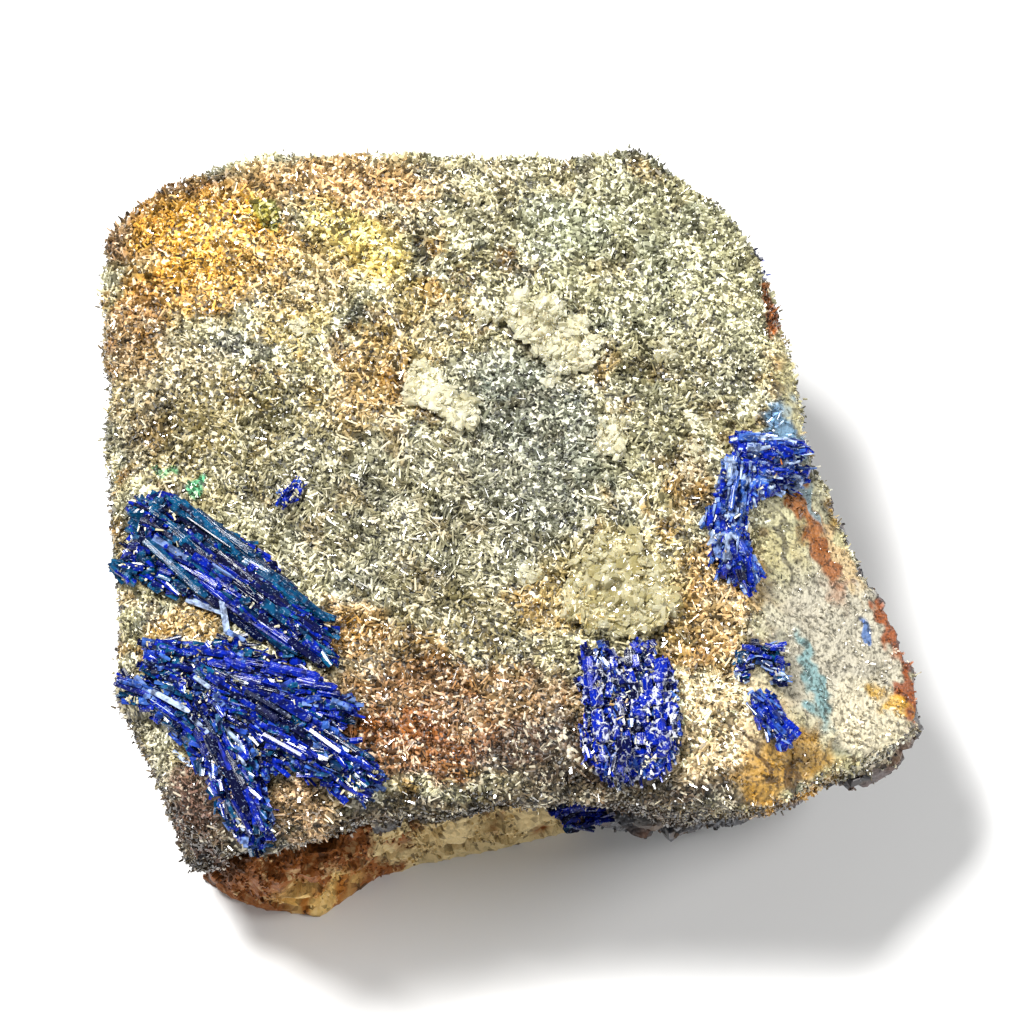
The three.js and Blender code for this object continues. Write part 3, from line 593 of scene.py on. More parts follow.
def seam_quartz():
    """Vein quartz, broken: the eye gets waxy pale rock, rusty along its cracks and yellow at its left tip,
    and painted shade where it runs in under the ore.
    """
    material, tree = shader_tree("Vein quartz, iron-stained")
    place = add(tree, "ShaderNodeTexCoord").outputs["Object"]
    split = add(tree, "ShaderNodeSeparateXYZ", {"Vector": place})
    rust = add(tree, "ShaderNodeTexNoise", {"Vector": place, "Scale": 1 / (2.6 * MM), "Detail": 4.0})
    spread = {"From Min": -4 * MM, "From Max": -14 * MM, "To Min": -0.1, "To Max": 0.2}
    leftness = add(tree, "ShaderNodeMapRange", {"Value": split.outputs["X"], **spread}).outputs[0]
    raised = add(tree, "ShaderNodeMath", {0: rust.outputs["Fac"], 1: leftness}, operation="ADD")
    spread = {"Value": raised.outputs[0], "From Min": 0.48, "From Max": 0.6, "To Max": 0.9}
    rusty = add(tree, "ShaderNodeMapRange", spread).outputs[0]
    veined = {0: rusty, 6: colours().quartz, 7: colours().limonite}
    pale_base = add(tree, "ShaderNodeMix", veined, **COLOUR_MIX).outputs[2]
    # The left tip is a lump of clearer yellow quartz with rusty swirls.
    tip_share = nearby(tree, place, SEAM_TIP, 4.2, 2.4, 0.85)
    swirl = add(
        tree, "ShaderNodeTexWave", {"Vector": place, "Scale": 1 / (8 * MM), "Distortion": 9.0, "Detail": 2.0}
    )
    spread = {"Value": swirl.outputs["Fac"], "From Min": 0.7, "From Max": 0.95, "To Max": 0.8}
    swirl_share = add(tree, "ShaderNodeMapRange", spread).outputs[0]
    swirled = {0: swirl_share, 6: linear("#f0cb7c"), 7: linear("#c0701c")}
    lump = add(tree, "ShaderNodeMix", swirled, **COLOUR_MIX).outputs[2]
    stained = add(tree, "ShaderNodeMix", {0: tip_share, 6: pale_base, 7: lump}, **COLOUR_MIX).outputs[2]
    _, cell_value = grainy_cells(tree, place, 0.4)
    tint = add(tree, "ShaderNodeAttribute", attribute_name="tint").outputs["Fac"]
    grain_value = add(tree, "ShaderNodeMath", {0: cell_value, 1: tint}, operation="ADD").outputs[0]
    # Grains with low values are darkened towards near-black: some at random, and those under the ore, whose
    # tint carries painted shade.
    spread = {"Value": grain_value, "From Min": 0.35, "From Max": 0.95, "To Min": 0.8, "To Max": 0.0}
    darkness_and_shade = add(tree, "ShaderNodeMapRange", spread).outputs[0]
    spread = {"Value": grain_value, "From Min": 1.3, "From Max": 1.75, "To Max": 0.6}
    lightness = add(tree, "ShaderNodeMapRange", spread).outputs[0]
    dark = {0: darkness_and_shade, 6: stained, 7: linear("#2c1604")}
    shaded = add(tree, "ShaderNodeMix", dark, **COLOUR_MIX).outputs[2]
    light = {0: lightness, 6: shaded, 7: linear("#ecd29a")}
    grain = add(tree, "ShaderNodeTexNoise", {"Vector": place, "Scale": 1 / (0.45 * MM), "Detail": 4.0})
    grit = {"Height": grain.outputs["Fac"], "Strength": 0.8, "Distance": 0.3 * MM}
    bump = add(tree, "ShaderNodeBump", grit)
    looks = {
        "Base Color": add(tree, "ShaderNodeMix", light, **COLOUR_MIX).outputs[2],
        "Roughness": 0.4,
        "IOR": 1.54,
        "Specular IOR Level": 0.15,
        "Normal": bump.outputs[0],
    }
    return surfaced(material, tree, looks)


def made_once(maker):
    """The material that maker makes, kept for every piece that has it."""
    kept = made_once.kept
    if maker not in kept:
        kept[maker] = maker()
    return kept[maker]


made_once.kept = {}


def merged_copy(node):
    """A CAD node's mesh with its doubles merged."""
    shape = bmesh.new()
    shape.from_mesh(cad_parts[node].data)
    bmesh.ops.remove_doubles(shape, verts=shape.verts, dist=0.0005 * MM)
    mesh = bpy.data.meshes.new(node + "_copy")
    shape.to_mesh(mesh)
    shape.free()
    return mesh


def new_piece(name, mesh, material, replaced):
    """Adds a piece that rides on the body, in place of the CAD nodes that it replaces, if any."""
    piece = bpy.data.objects.new(name, mesh)
    bpy.context.scene.collection.objects.link(piece)
    mesh.materials.clear()
    mesh.materials.append(material)
    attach(piece, "root")
    if replaced:
        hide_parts(*replaced)
    return piece


def voxel_mesh(mesh, voxel):
    """The same form with an even skin of small faces."""
    carrier = bpy.data.objects.new("remesh", mesh)
    bpy.context.scene.collection.objects.link(carrier)
    remesh = carrier.modifiers.new("Remesh", "REMESH")
    remesh.mode = "VOXEL"
    remesh.voxel_size = voxel
    depsgraph = bpy.context.evaluated_depsgraph_get()
    fine = bpy.data.meshes.new_from_object(carrier.evaluated_get(depsgraph))
    bpy.data.objects.remove(carrier)
    return fine


def points_of(mesh):
    flat = np.zeros(len(mesh.vertices) * 3)
    mesh.vertices.foreach_get("co", flat)
    return flat.reshape(-1, 3)


def normals_of(mesh):
    flat = np.zeros(len(mesh.vertices) * 3)
    mesh.vertex_normals.foreach_get("vector", flat)
    return flat.reshape(-1, 3)


def set_points(mesh, points):
    """Moves a mesh's vertices to these points."""
    mesh.vertices.foreach_set("co", points.ravel())
    mesh.update()


def write_values(mesh, name, values):
    """Gives each point of a mesh a value, which the materials read by its name."""
    layer = mesh.attributes.new(name, "FLOAT", "POINT")
    layer.data.foreach_set("value", values)


def noise_at(points, size, shift=0.0):
    """Smooth noise from -1 to 1 at points, with lumps of about a size."""
    scaled = points / size + shift
    return np.array([noise.noise(row) for row in scaled.tolist()])


def cells_at(points, size, shift=0.0):
    """A random value from 0 to 1 for the block that each point lies in."""
    scaled = points / size + shift
    return np.array([noise.cell(row) for row in scaled.tolist()])


def smooth_share(value, low, high):
    """A share that rises smoothly from 0 at low to 1 at high."""
    share = np.clip((value - low) / (high - low), 0, 1)
    return share * share * (3 - 2 * share)


def in_cleavage_axes(points):
    """Points in axes that run along the cube faces of the galena."""
    c, s = math.cos(CLEAVAGE_TURN), math.sin(CLEAVAGE_TURN)
    return points @ np.array([[c, -s, 0], [s, c, 0], [0, 0, 1]])


def chipped(points, rng, count, tilt, reach):
    """How far each point moves out where a surface has broken into that many tilted chips."""
    middles = points[rng.choice(len(points), count, replace=False)]
    tree = KDTree(count)
    for number, middle in enumerate(middles.tolist()):
        tree.insert(middle, number)
    tree.balance()
    nearest = np.array([tree.find(row)[1] for row in points.tolist()])
    tilts = rng.normal(0, tilt, (count, 3))
    steps = rng.uniform(-0.5, 0.5, count) * reach
    slope = np.einsum("ij,ij->i", points - middles[nearest], tilts[nearest])
    return np.clip(slope + steps[nearest], -reach, reach)


def share_on_break(points):
    """How far each point lies on the broken face at the right, from 0 to 1."""
    out = (points[:, 0] / MM - BREAK_AT[0]) * math.cos(BREAK_HEADING)
    out = out + (points[:, 1] / MM - BREAK_AT[1]) * math.sin(BREAK_HEADING)
    return smooth_share(out, -0.5, 1.5)


# How many chips the sides of the block have broken into.
ROCK_CHIPS = 900


def weathered_rock(mesh):
    """Roughens the face in grains and breaks the sides into cubes and chips."""
    points, normals = points_of(mesh), normals_of(mesh)
    face = smooth_share(normals[:, 2], 0.3, 0.6) * smooth_share(points[:, 2], 12 * MM, 14 * MM)
    # The crust hangs over the rim in tongues, which reach down at the front and more so at its left corner.
    at_front = smooth_share(-points[:, 1], 10 * MM, 17 * MM)
    at_corner = at_front * smooth_share(-points[:, 0], 14 * MM, 18 * MM)
    tongues = points[:, 2] / MM + 2.4 * noise_at(points, 3.4 * MM, 6.1) + 3.5 * at_front + 5.5 * at_corner
    rim = smooth_share(tongues, 15.4, 17.6) * smooth_share(normals[:, 2], -0.9, -0.4)
    crusted = np.maximum(face, rim)
    side = 1 - crusted
    rng = np.random.default_rng(SEED + 3)
    sway = np.stack([noise_at(points, 5 * MM, shift) for shift in (1.3, 4.7, 8.1)], axis=1)
    blocks = in_cleavage_axes(points + 1.4 * MM * sway)
    depth = 0.9 * cells_at(blocks * (1.0, 1.0, 0.6), 4.6 * MM)
    depth += 0.5 * cells_at(blocks, 1.7 * MM, 5.5) * smooth_share(sway[:, 0], -0.1, 0.3)
    chips = chipped(points, rng, ROCK_CHIPS, 0.5, 0.5 * MM) / MM
    depth += chips + 0.25 * noise_at(points, 0.8 * MM, 2.4) + 0.3
    rough = 0.16 * noise_at(points, 0.9 * MM) + 0.36 * noise_at(points, 2.8 * MM, 3.3)
    resting = smooth_share(points[:, 2], 0.05 * MM, 1.5 * MM)
    move = (crusted * rough - side * resting * depth * 0.7) * MM
    inward = normals.copy()
    inward[:, 2] *= np.where(crusted > 0.5, 1.0, 0.4)
    set_points(mesh, points + inward * move[:, None])
    write_values(mesh, "crusted", crusted)
    write_values(mesh, "broken", share_on_break(points) * face)


def template_of(shape):
    """A small closed crystal as arrays: its points, its faces' corners and the faces' starts."""
    bmesh.ops.recalc_face_normals(shape, faces=shape.faces)
    points = np.array([v.co[:] for v in shape.verts])
    corners = [v.index for face in shape.faces for v in face.verts]
    lengths = [len(face.verts) for face in shape.faces]
    starts = np.concatenate(([0], np.cumsum(lengths)[:-1]))
    shape.free()
    return {"points": points, "corners": np.array(corners), "starts": starts}


def six_sided(tip, shoulder):
    """A prism of unit width and length on the origin that narrows from its shoulder to its tip."""
    shape = bmesh.new()
    bmesh.ops.create_cone(shape, cap_ends=True, segments=6, radius1=0.5, radius2=0.5, depth=shoulder)
    bmesh.ops.translate(shape, verts=shape.verts, vec=(0, 0, shoulder / 2))
    top = max(shape.faces, key=lambda face: face.calc_center_median().z)
    inradius = 0.5 * math.cos(math.pi / 6)
    bmesh.ops.inset_individual(shape, faces=[top], thickness=inradius * (1 - tip), depth=1 - shoulder)
    shape.verts.index_update()
    return shape


def four_sided(tip):
    """Template of a stubby crystal of unit width and length on the origin, with as few faces as can be."""
    shape = bmesh.new()
    bmesh.ops.create_cone(shape, cap_ends=True, segments=4, radius1=0.5, radius2=0.5 * tip, depth=1.0)
    bmesh.ops.translate(shape, verts=shape.verts, vec=(0, 0, 0.5))
    shape.verts.index_update()
    return template_of(shape)


def turned_axes(along, roll):
    """Axes for crystals: the third points along, the others are rolled about it."""
    along = along / np.linalg.norm(along, axis=1, keepdims=True)
    helper = np.where(np.abs(along[:, 2:3]) < 0.9, [[0.0, 0.0, 1.0]], [[1.0, 0.0, 0.0]])
    across = np.cross(helper, along)
    across /= np.linalg.norm(across, axis=1, keepdims=True)
    up = np.cross(along, across)
    c, s = np.cos(roll)[:, None], np.sin(roll)[:, None]
    return np.stack([across * c + up * s, up * c - across * s, along], axis=2)


def scattered_axes(rng, along, astray):
    """Axes for crystals that lean astray from their directions and are rolled at random."""
    count = len(along)
    return turned_axes(along + rng.normal(0, astray, (count, 3)), rng.uniform(0, math.tau, count))


def set_back(roots, axes, depth):
    """Roots moved back along their crystals by a depth."""
    return roots - axes[:, :, 2] * depth[:, None]


def joined_crystals(name, template, axes, roots, scales, tints):
    """One mesh of many crystals: each has its axes, its root, its three scales and its tint."""
    count = len(roots)
    local = template["points"][None] * scales[:, None, :]
    placed = np.einsum("nij,nvj->nvi", axes, local) + roots[:, None, :]
    per = len(template["points"])
    corners = (template["corners"][None] + np.arange(count)[:, None] * per).ravel()
    starts = (template["starts"][None] + np.arange(count)[:, None] * len(template["corners"])).ravel()
    mesh = bpy.data.meshes.new(name)
    mesh.vertices.add(count * per)
    mesh.vertices.foreach_set("co", placed.ravel())
    mesh.loops.add(len(corners))
    mesh.loops.foreach_set("vertex_index", corners.astype(np.int32))
    mesh.polygons.add(len(starts))
    mesh.polygons.foreach_set("loop_start", starts.astype(np.int32))
    mesh.update(calc_edges=True)
    mesh.shade_flat()
    write_values(mesh, "tint", np.repeat(tints, per))
    blade = mesh.uv_layers.new(name="blade")
    flat = local[:, :, [0, 2]].reshape(-1, 2) + np.repeat(tints, per)[:, None] * 50 * MM
    blade.data.foreach_set("uv", flat[corners].ravel())
    return mesh


def planted(name, maker, slot, template, *grown):
    """Adds a piece of many crystals, given their axes, roots, scales and tints."""
    mesh = joined_crystals(name, template, *grown)
    new_piece(name, mesh, made_once(maker), [])


class Ground:
    """Answers how high the specimen's solids stand over a place."""

    def __init__(self, meshes):
        shape = bmesh.new()
        for mesh in meshes:
            shape.from_mesh(mesh)
        self.tree = BVHTree.FromBMesh(shape)
        shape.free()

    def height(self, x, y):
        hit = self.tree.ray_cast(Vector((x, y, 50 * MM)), Vector((0, 0, -1)))
        return None if hit[0] is None else hit[0].z


def cluster_ground(nodes):
    """The ground that these CAD nodes make."""
    return Ground([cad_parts[node].data for node in nodes])


def under(ground, points):
    """True for each point that has something of the ground over or under it in plan."""
    return np.array([ground.height(x, y) is not None for x, y in points[:, :2].tolist()])


class BuildRock(bpy.types.Operator):
    """Dresses the matrix: a rough crusted face and sides that break in cubes"""

    bl_idname = "specimen.rock"
    bl_label = "Rock"

    def execute(self, context):
        mesh = voxel_mesh(merged_copy("galena_matrix"), sizes().rock_voxel)
        mesh.name = "crusted_rock"
        weathered_rock(mesh)
        mesh.shade_flat()
        new_piece("crusted_rock", mesh, made_once(crusted_galena), ["galena_matrix"])
        return {"FINISHED"}


# How much of the crust the broken face lacks and the walls keep, and how much of it has dust between.
BARE_ON_BREAK = 0.72
WALL_DENSITY = 0.75
DUST_SHARE = 0.37
# Clusters with pale grains settled on them, and how many of the places there carry one.
SPRINKLED = ((BLUE_NODES, 0.28), (HALF_BURIED, 0.8), (PALE_NODES, 0.7))


class BuildCrust(bpy.types.Operator):
    """Grows the crust of small crystals on the face"""

    bl_idname = "specimen.crust"
    bl_label = "Crust"

    def execute(self, context):
        rng = np.random.default_rng(SEED)
        rock = bpy.data.objects["crusted_rock"].data
        points, normals = points_of(rock), normals_of(rock)
        crusted, broken = np.zeros(len(points)), np.zeros(len(points))
        rock.attributes["crusted"].data.foreach_get("value", crusted)
        rock.attributes["broken"].data.foreach_get("value", broken)
        # Few crystals sit on the broken face, and the crust thins out down the sides.
        density = np.clip(crusted, 0, 1) * (1 - BARE_ON_BREAK * broken)
        density *= np.where(normals[:, 2] < 0.2, WALL_DENSITY, 1.0)
        chosen = np.flatnonzero(rng.random(len(points)) < density)
        covered = under(cluster_ground(BLUE_NODES + PALE_NODES), points[chosen])
        self.sprinkle(rng, points[chosen[covered]])
        chosen = chosen[~covered]
        # Half of the places carry a second crystal.
        chosen = np.concatenate([chosen, rng.choice(chosen, len(chosen) // 2, replace=False)])
        roots = points[chosen] + rng.uniform(-0.2, 0.2, (len(chosen), 3)) * MM
        normals = normals[chosen]
        coarse = smooth_share(noise_at(roots, 4 * MM, 9.1), -0.2, 0.3)
        on_break = broken[chosen]
        lathy = self.share_of_laths(roots) * (1 - on_break) * smooth_share(normals[:, 2], 0.2, 0.7)
        is_lath = rng.random(len(chosen)) < lathy
        self.grow_grains(rng, roots[~is_lath], normals[~is_lath], coarse[~is_lath], on_break[~is_lath])
        self.grow_laths(rng, roots[is_lath], normals[is_lath], coarse[is_lath])
        self.grow_dust(rng, roots, normals)
        return {"FINISHED"}

    def clumped_tints(self, rng, roots, low, high):
        """Tints that drift between clumps of 0.9 mm and patches of 2.4 mm, as well as between crystals."""
        clump = smooth_share(noise_at(roots, 0.9 * MM, 5.9), -0.6, 0.6)
        patch = smooth_share(noise_at(roots, 2.4 * MM, 7.1), -0.5, 0.5)
        share = 0.3 * clump + 0.22 * patch + 0.6 * rng.random(len(roots)) - 0.06
        return np.clip(low + (high - low) * share, 0, 1)

    def sprinkle(self, rng, places):
        """Pale grains that have settled on the clusters."""
        roots = []
        for nodes, share in SPRINKLED:
            ground = cluster_ground(nodes)
            kept = places[rng.random(len(places)) < share][:, :2].tolist()
            heights = [ground.height(x, y) for x, y in kept]
            roots += [(x, y, z) for (x, y), z in zip(kept, heights) if z is not None]
        roots = np.array(roots)
        count = len(roots)
        axes = scattered_axes(rng, np.tile((0, 0, 0.6), (count, 1)), 0.7)
        width = sizes().grain * rng.uniform(0.3, 0.8, count)
        scales = np.stack([width, width * 0.7, width * rng.uniform(1.0, 2.6, count)], axis=1)
        tints = rng.uniform(0.55, 1.0, count)
        lifted = roots + rng.uniform(-0.1, 0.1, (count, 3)) * MM
        grown = (axes, lifted, scales, tints)
        planted("crust_sprinkle", crust_crystal, "crusted_galena", four_sided(0.6), *grown)

    def share_of_laths(self, roots):
        """Laths are common left of the middle and along the front, and rare at the upper corners."""
        x, y = roots[:, 0] / MM, roots[:, 1] / MM
        middle = np.exp(-(((x + 6) / 13) ** 2) - ((y + 3) / 8) ** 2)
        return 0.14 + 0.5 * middle + 0.08 * smooth_share(-y, 8, 18)

    def grow_grains(self, rng, roots, normals, coarse, on_break):
        """Stubby crystals, finer on the broken face and flatter on the walls."""
        count = len(roots)
        axes = scattered_axes(rng, normals, 0.55)
        width = sizes().grain * (0.75 + 0.55 * coarse) * rng.uniform(0.75, 1.35, count)
        width *= 1 - 0.35 * on_break
        flatness = 0.5 + 0.5 * smooth_share(normals[:, 2], 0.2, 0.9)
        length = width * rng.uniform(0.8, 1.6, count) * flatness
        scales = np.stack([width, width * rng.uniform(0.6, 1.0, count), length], axis=1)
        sunk = set_back(roots, axes, 0.35 * length)
        tints = self.clumped_tints(rng, roots, 0.0, 1.0) * (1 - 0.5 * on_break) + 0.3 * on_break
        half = count // 2
        for name, part in (("crust_grains_a", slice(0, half)), ("crust_grains_b", slice(half, count))):
            grown = (axes[part], sunk[part], scales[part], tints[part])
            planted(name, crust_crystal, "crusted_galena", four_sided(0.6), *grown)

    def grow_dust(self, rng, roots, normals):
        """The finest crystals, which fill the gaps between the others."""
        chosen = rng.choice(len(roots), int(DUST_SHARE * len(roots)), replace=False)
        count = len(chosen)
        axes = scattered_axes(rng, normals[chosen], 0.7)
        width = sizes().grain * rng.uniform(0.35, 0.7, count)
        scales = np.stack([width, width * 0.7, width * rng.uniform(1.0, 2.2, count)], axis=1)
        spread = rng.uniform(-0.2, 0.2, (count, 3)) * MM
        lifted = roots[chosen] + spread + normals[chosen] * rng.uniform(-0.05, 0.12, (count, 1)) * MM
        tints = self.clumped_tints(rng, lifted, 0.0, 1.0)
        planted("crust_dust", crust_crystal, "crusted_galena", four_sided(0.6), axes, lifted, scales, tints)

    def grow_laths(self, rng, roots, normals, coarse):
        """Laths, which lie side by side in sheaves about 1.3 mm across."""
        count = len(roots)
        azimuth = math.tau * cells_at(roots, 1.3 * MM, 3.3) + rng.normal(0, 0.5, count)
        sideways = np.stack([np.cos(azimuth), np.sin(azimuth), np.zeros(count)], axis=1)
        rise = rng.uniform(0.05, 0.6, count)[:, None] * smooth_share(normals[:, 2:], 0.2, 0.9)
        axes = turned_axes(sideways + normals * rise, rng.normal(math.pi / 2, 0.5, count))
        length = sizes().lath * (0.75 + 0.35 * coarse) * rng.uniform(0.5, 1.2, count)
        width = sizes().lath * rng.uniform(0.1, 0.26, count)
        scales = np.stack([width * 0.5, width, length], axis=1)
        lifted = set_back(roots + normals * 0.14 * MM, axes, 0.4 * length)
        tints = self.clumped_tints(rng, roots, 0.25, 1.05)
        planted("crust_laths", crust_crystal, "crusted_galena", four_sided(0.7), axes, lifted, scales, tints)


# Crystals of the sides: how many, their size against a cube's, how far they point outward rather than up,
# and how high they reach (mm).
SIDE_CUBES = (1400, 1.0, 0.0, 13)
SIDE_DRUSE = (7800, 0.48, 1.0, 18.5)


class BuildSides(bpy.types.Operator):
    """Sets cubes of galena and a finer druse into the sides and the back"""

    bl_idname = "specimen.sides"
    bl_label = "Side cubes"

    def execute(self, context):
        rng = np.random.default_rng(SEED + 1)
        rock = bpy.data.objects["crusted_rock"].data
        points, normals = points_of(rock), normals_of(rock)
        side = np.flatnonzero((normals[:, 2] < 0.3) & (points[:, 2] > 1.2 * MM) & (points[:, 2] < 18.5 * MM))
        shape = bmesh.new()
        bmesh.ops.create_cube(shape, size=1.0)
        bmesh.ops.bevel(
            shape, geom=shape.edges[:], offset=0.06, segments=1, profile=0.5, affect="EDGES", material=-1
        )
        shape.verts.index_update()
        kinds = (
            ("galena_cubes", template_of(shape), SIDE_CUBES),
            ("galena_druse", four_sided(0.6), SIDE_DRUSE),
        )
        for name, template, (count, size, outward, highest) in kinds:
            chosen = rng.choice(side[points[side, 2] < highest * MM], count, replace=False)
            heading = CLEAVAGE_TURN + rng.normal(0, 0.3, count)
            along = np.column_stack([rng.normal(0, 0.25, (count, 2)), np.ones(count)])
            along = along * (1 - outward) + (normals[chosen] + rng.normal(0, 0.6, (count, 3))) * outward
            width = sizes().cube * size * rng.uniform(0.35, 1.35, count) ** 1.5
            scales = width[:, None] * rng.uniform(0.7, 1.3, (count, 3))
            roots = points[chosen] - normals[chosen] * (0.4 * width)[:, None]
            roots[:, 2] = np.maximum(roots[:, 2], 0.9 * width)
            grown = (turned_axes(along, heading), roots, scales, rng.random(count))
            planted(name, galena_cube_metal, "crusted_galena", template, *grown)
        return {"FINISHED"}


# How many grains lie on the seam and how many chips its skin has broken into.
SEAM_GRAINS = 4200
SEAM_CHIPS = 260


class BuildSeam(bpy.types.Operator):
    """Dresses the quartz seam"""

    bl_idname = "specimen.seam"
    bl_label = "Quartz seam"

    def execute(self, context):
        mesh = voxel_mesh(merged_copy("quartz_seam"), sizes().seam_voxel)
        mesh.name = "seam_rock"
        points, normals = points_of(mesh), normals_of(mesh)
        rng = np.random.default_rng(SEED + 2)
        rough = 0.4 * noise_at(points, 2.6 * MM) + 0.16 * noise_at(points, 0.6 * MM, 4.2) - 0.45
        rough += chipped(points, rng, SEAM_CHIPS, 0.5, 0.6 * MM) / MM
        resting = smooth_share(points[:, 2], 0.05 * MM, 1.2 * MM)
        set_points(mesh, points + normals * (rough * resting * MM)[:, None])
        mesh.shade_flat()
        # Painted shade: the quartz is darkened where it runs in under the ore.
        points = points_of(mesh)
        ore = cluster_ground(["galena_matrix"]).tree
        gaps = np.array([ore.find_nearest(row)[3] for row in points.tolist()])
        shade_under_ore = 1 - smooth_share(gaps, 0.6 * MM, 2.6 * MM)
        write_values(mesh, "tint", 0.5 + 0.5 * noise_at(points, 0.9 * MM, 7.7) - shade_under_ore)
        new_piece("seam_rock", mesh, made_once(seam_quartz), ["quartz_seam"])
        self.grow_grains(rng, points, normals_of(mesh), shade_under_ore)
        return {"FINISHED"}

    def grow_grains(self, rng, points, normals, shade_under_ore):
        """Small quartz grains on the open faces of the seam."""
        loose = np.flatnonzero((points[:, 2] > 1.0 * MM) & (noise_at(points, 3 * MM, 3.7) > -0.2))
        chosen = rng.choice(loose, SEAM_GRAINS, replace=False)
        count = len(chosen)
        axes = scattered_axes(rng, normals[chosen], 0.5)
        width = rng.uniform(0.15, 0.45, count) * MM
        scales = np.stack([width, width * 0.8, width * rng.uniform(0.8, 1.4, count)], axis=1)
        sunk = set_back(points[chosen], axes, 0.4 * scales[:, 2])
        # Painted shade: grains under the ore get a lower tint and come out darker.
        tints = rng.random(count) - shade_under_ore[chosen]
        planted("seam_grains", seam_quartz, "vein_quartz", four_sided(0.5), axes, sunk, scales, tints)


# How the massive parts of the clusters look: height and size of their lumps (mm), how many points a chip
# has, its tilt and its reach (mm), and size (mm) and edges of the patches that the tint drifts between.
BLUE_ROOT = {"lumps": ((0.12, 0.5),), "chips": (40, 0.8, 0.35), "patch": (1.3, -0.5, 0.6)}
PALE_ROOT = {"lumps": ((0.35, 1.8), (0.1, 0.45)), "chips": (30, 0.6, 0.3), "patch": (1.4, -0.6, 0.6)}
# How deep they lie under the skin of their solids (mm).
BLUE_SINK = 0.1
BURIED_SINK = 0.36
PALE_SINK = 0.15


def massive_root(rng, node, maker, slot, sink, tints, lumps, chips, patch):
    """The massive part of a cluster, which shows between its crystals."""
    mesh = voxel_mesh(merged_copy(node), CLUSTER_VOXEL)
    mesh.name = node + "_root"
    points, normals = points_of(mesh), normals_of(mesh)
    rough = sum(height * noise_at(points, size * MM) for height, size in lumps) - sink
    per_chip, tilt, reach = chips
    rough += chipped(points, rng, len(points) // per_chip, tilt, reach * MM) / MM
    set_points(mesh, points + normals * (rough * MM)[:, None])
    mesh.shade_flat()
    size, low, high = patch
    lowest, highest = tints
    share = smooth_share(noise_at(points, size * MM, 2.2), low, high)
    write_values(mesh, "tint", lowest + (highest - lowest) * share)
    new_piece(node + "_root", mesh, made_once(maker), [node])
    return mesh


# Bundles of blue blades: start and end (mm), the width they are spread over, how many, the width of a
# blade, the shortest and longest share of the run, and the lowest and highest tint.
BLUE_BUNDLES = {
    "blue_blades_upper_left": (
        ((-24.2, -1.6), (-12.2, -11.4), 2.4, 44, 0.5, 0.14, 0.42, 0.0, 0.52),
        ((-24.4, -3.2), (-12.0, -13.2), 2.8, 60, 0.5, 0.14, 0.42, 0.0, 0.56),
        ((-24.6, -4.6), (-17.0, -9.4), 2.4, 30, 0.45, 0.12, 0.4, 0.3, 0.9),
        ((-15.6, -9.8), (-11.5, -13.6), 1.6, 18, 0.45, 0.2, 0.5, 0.0, 0.62),
    ),
    "blue_blades_lower_left": (
        ((-23.6, -13.0), (-10.0, -16.8), 2.6, 56, 0.46, 0.07, 0.26, 0.06, 0.74),
        ((-20.6, -14.6), (-8.4, -22.2), 2.8, 64, 0.46, 0.07, 0.26, 0.06, 0.7),
        ((-20.4, -16.4), (-16.3, -25.4), 1.8, 34, 0.42, 0.12, 0.32, 0.14, 0.5),
        ((-22.8, -15.4), (-26.2, -14.4), 1.0, 10, 0.3, 0.4, 0.8, 0.2, 0.95),
        ((-24.0, -14.6), (-20.0, -18.0), 1.5, 20, 0.35, 0.2, 0.5, 0.25, 0.97),
    ),
    "blue_block_front": (
        ((6.4, -12.8), (7.2, -21.4), 2.2, 30, 0.6, 0.08, 0.17, 0.22, 0.68),
        ((9.1, -12.0), (10.2, -20.6), 2.2, 30, 0.6, 0.08, 0.17, 0.3, 0.64),
    ),
    "blue_vein_right": (
        ((15.4, 1.8), (20.4, 1.0), 2.4, 22, 0.36, 0.1, 0.3, 0.38, 1.0),
        ((15.6, 1.0), (14.4, -6.6), 2.2, 30, 0.36, 0.08, 0.24, 0.38, 0.97),
        ((15.1, -4.8), (16.6, -8.6), 1.0, 12, 0.4, 0.15, 0.35, 0.2, 0.7),
    ),
    "blue_streak_lower_right": (((16.4, -15.2), (18.9, -18.8), 0.9, 8, 0.35, 0.15, 0.4, 0.42, 0.78),),
    "blue_chips_lower_right": (((15.4, -12.2), (18.6, -12.4), 1.4, 8, 0.35, 0.12, 0.3, 0.0, 0.97),),
    "blue_speck_centre": (((-15.3, -1.8), (-14.1, -0.4), 0.4, 3, 0.3, 0.3, 0.5, 0.44, 0.72),),
    "blue_ledge_front": (((3.2, -19.0), (6.8, -18.3), 1.4, 10, 0.5, 0.15, 0.4, 0.1, 0.56),),
}
# Single pale rods that stand out of the fans: start and end (mm) and width.
PALE_RODS = (
    ((-23.8, -15.0), (-21.0, -16.9), 0.42),
    ((-20.7, -14.6), (-19.6, -15.7), 0.34),
    ((-20.9, -17.2), (-19.7, -18.4), 0.36),
    ((-18.6, -18.0), (-17.0, -19.9), 0.34),
    ((-19.3, -17.8), (-17.2, -20.7), 0.3),
    ((-22.2, -18.6), (-21.0, -19.7), 0.4),
    ((-18.4, -22.9), (-17.3, -24.8), 0.3),
    ((-24.3, -11.2), (-23.9, -13.4), 0.36),
    ((-21.4, -8.6), (-18.7, -9.9), 0.55),
    ((-19.0, -9.0), (-18.6, -11.4), 0.5),
)
# How many points of a cluster's top carry a short crystal of its coat.
COAT_SHARE = 0.28
# Clusters whose short crystals are finer than those of the fans.
COAT_SIZE = {
    "blue_block_front": 0.8,
    "blue_vein_right": 0.65,
    "blue_streak_lower_right": 0.75,
    "blue_chips_lower_right": 0.65,
    "blue_speck_centre": 0.45,
}
# The width of a plate of blades in a bundle (mm).
PLATE = 0.7


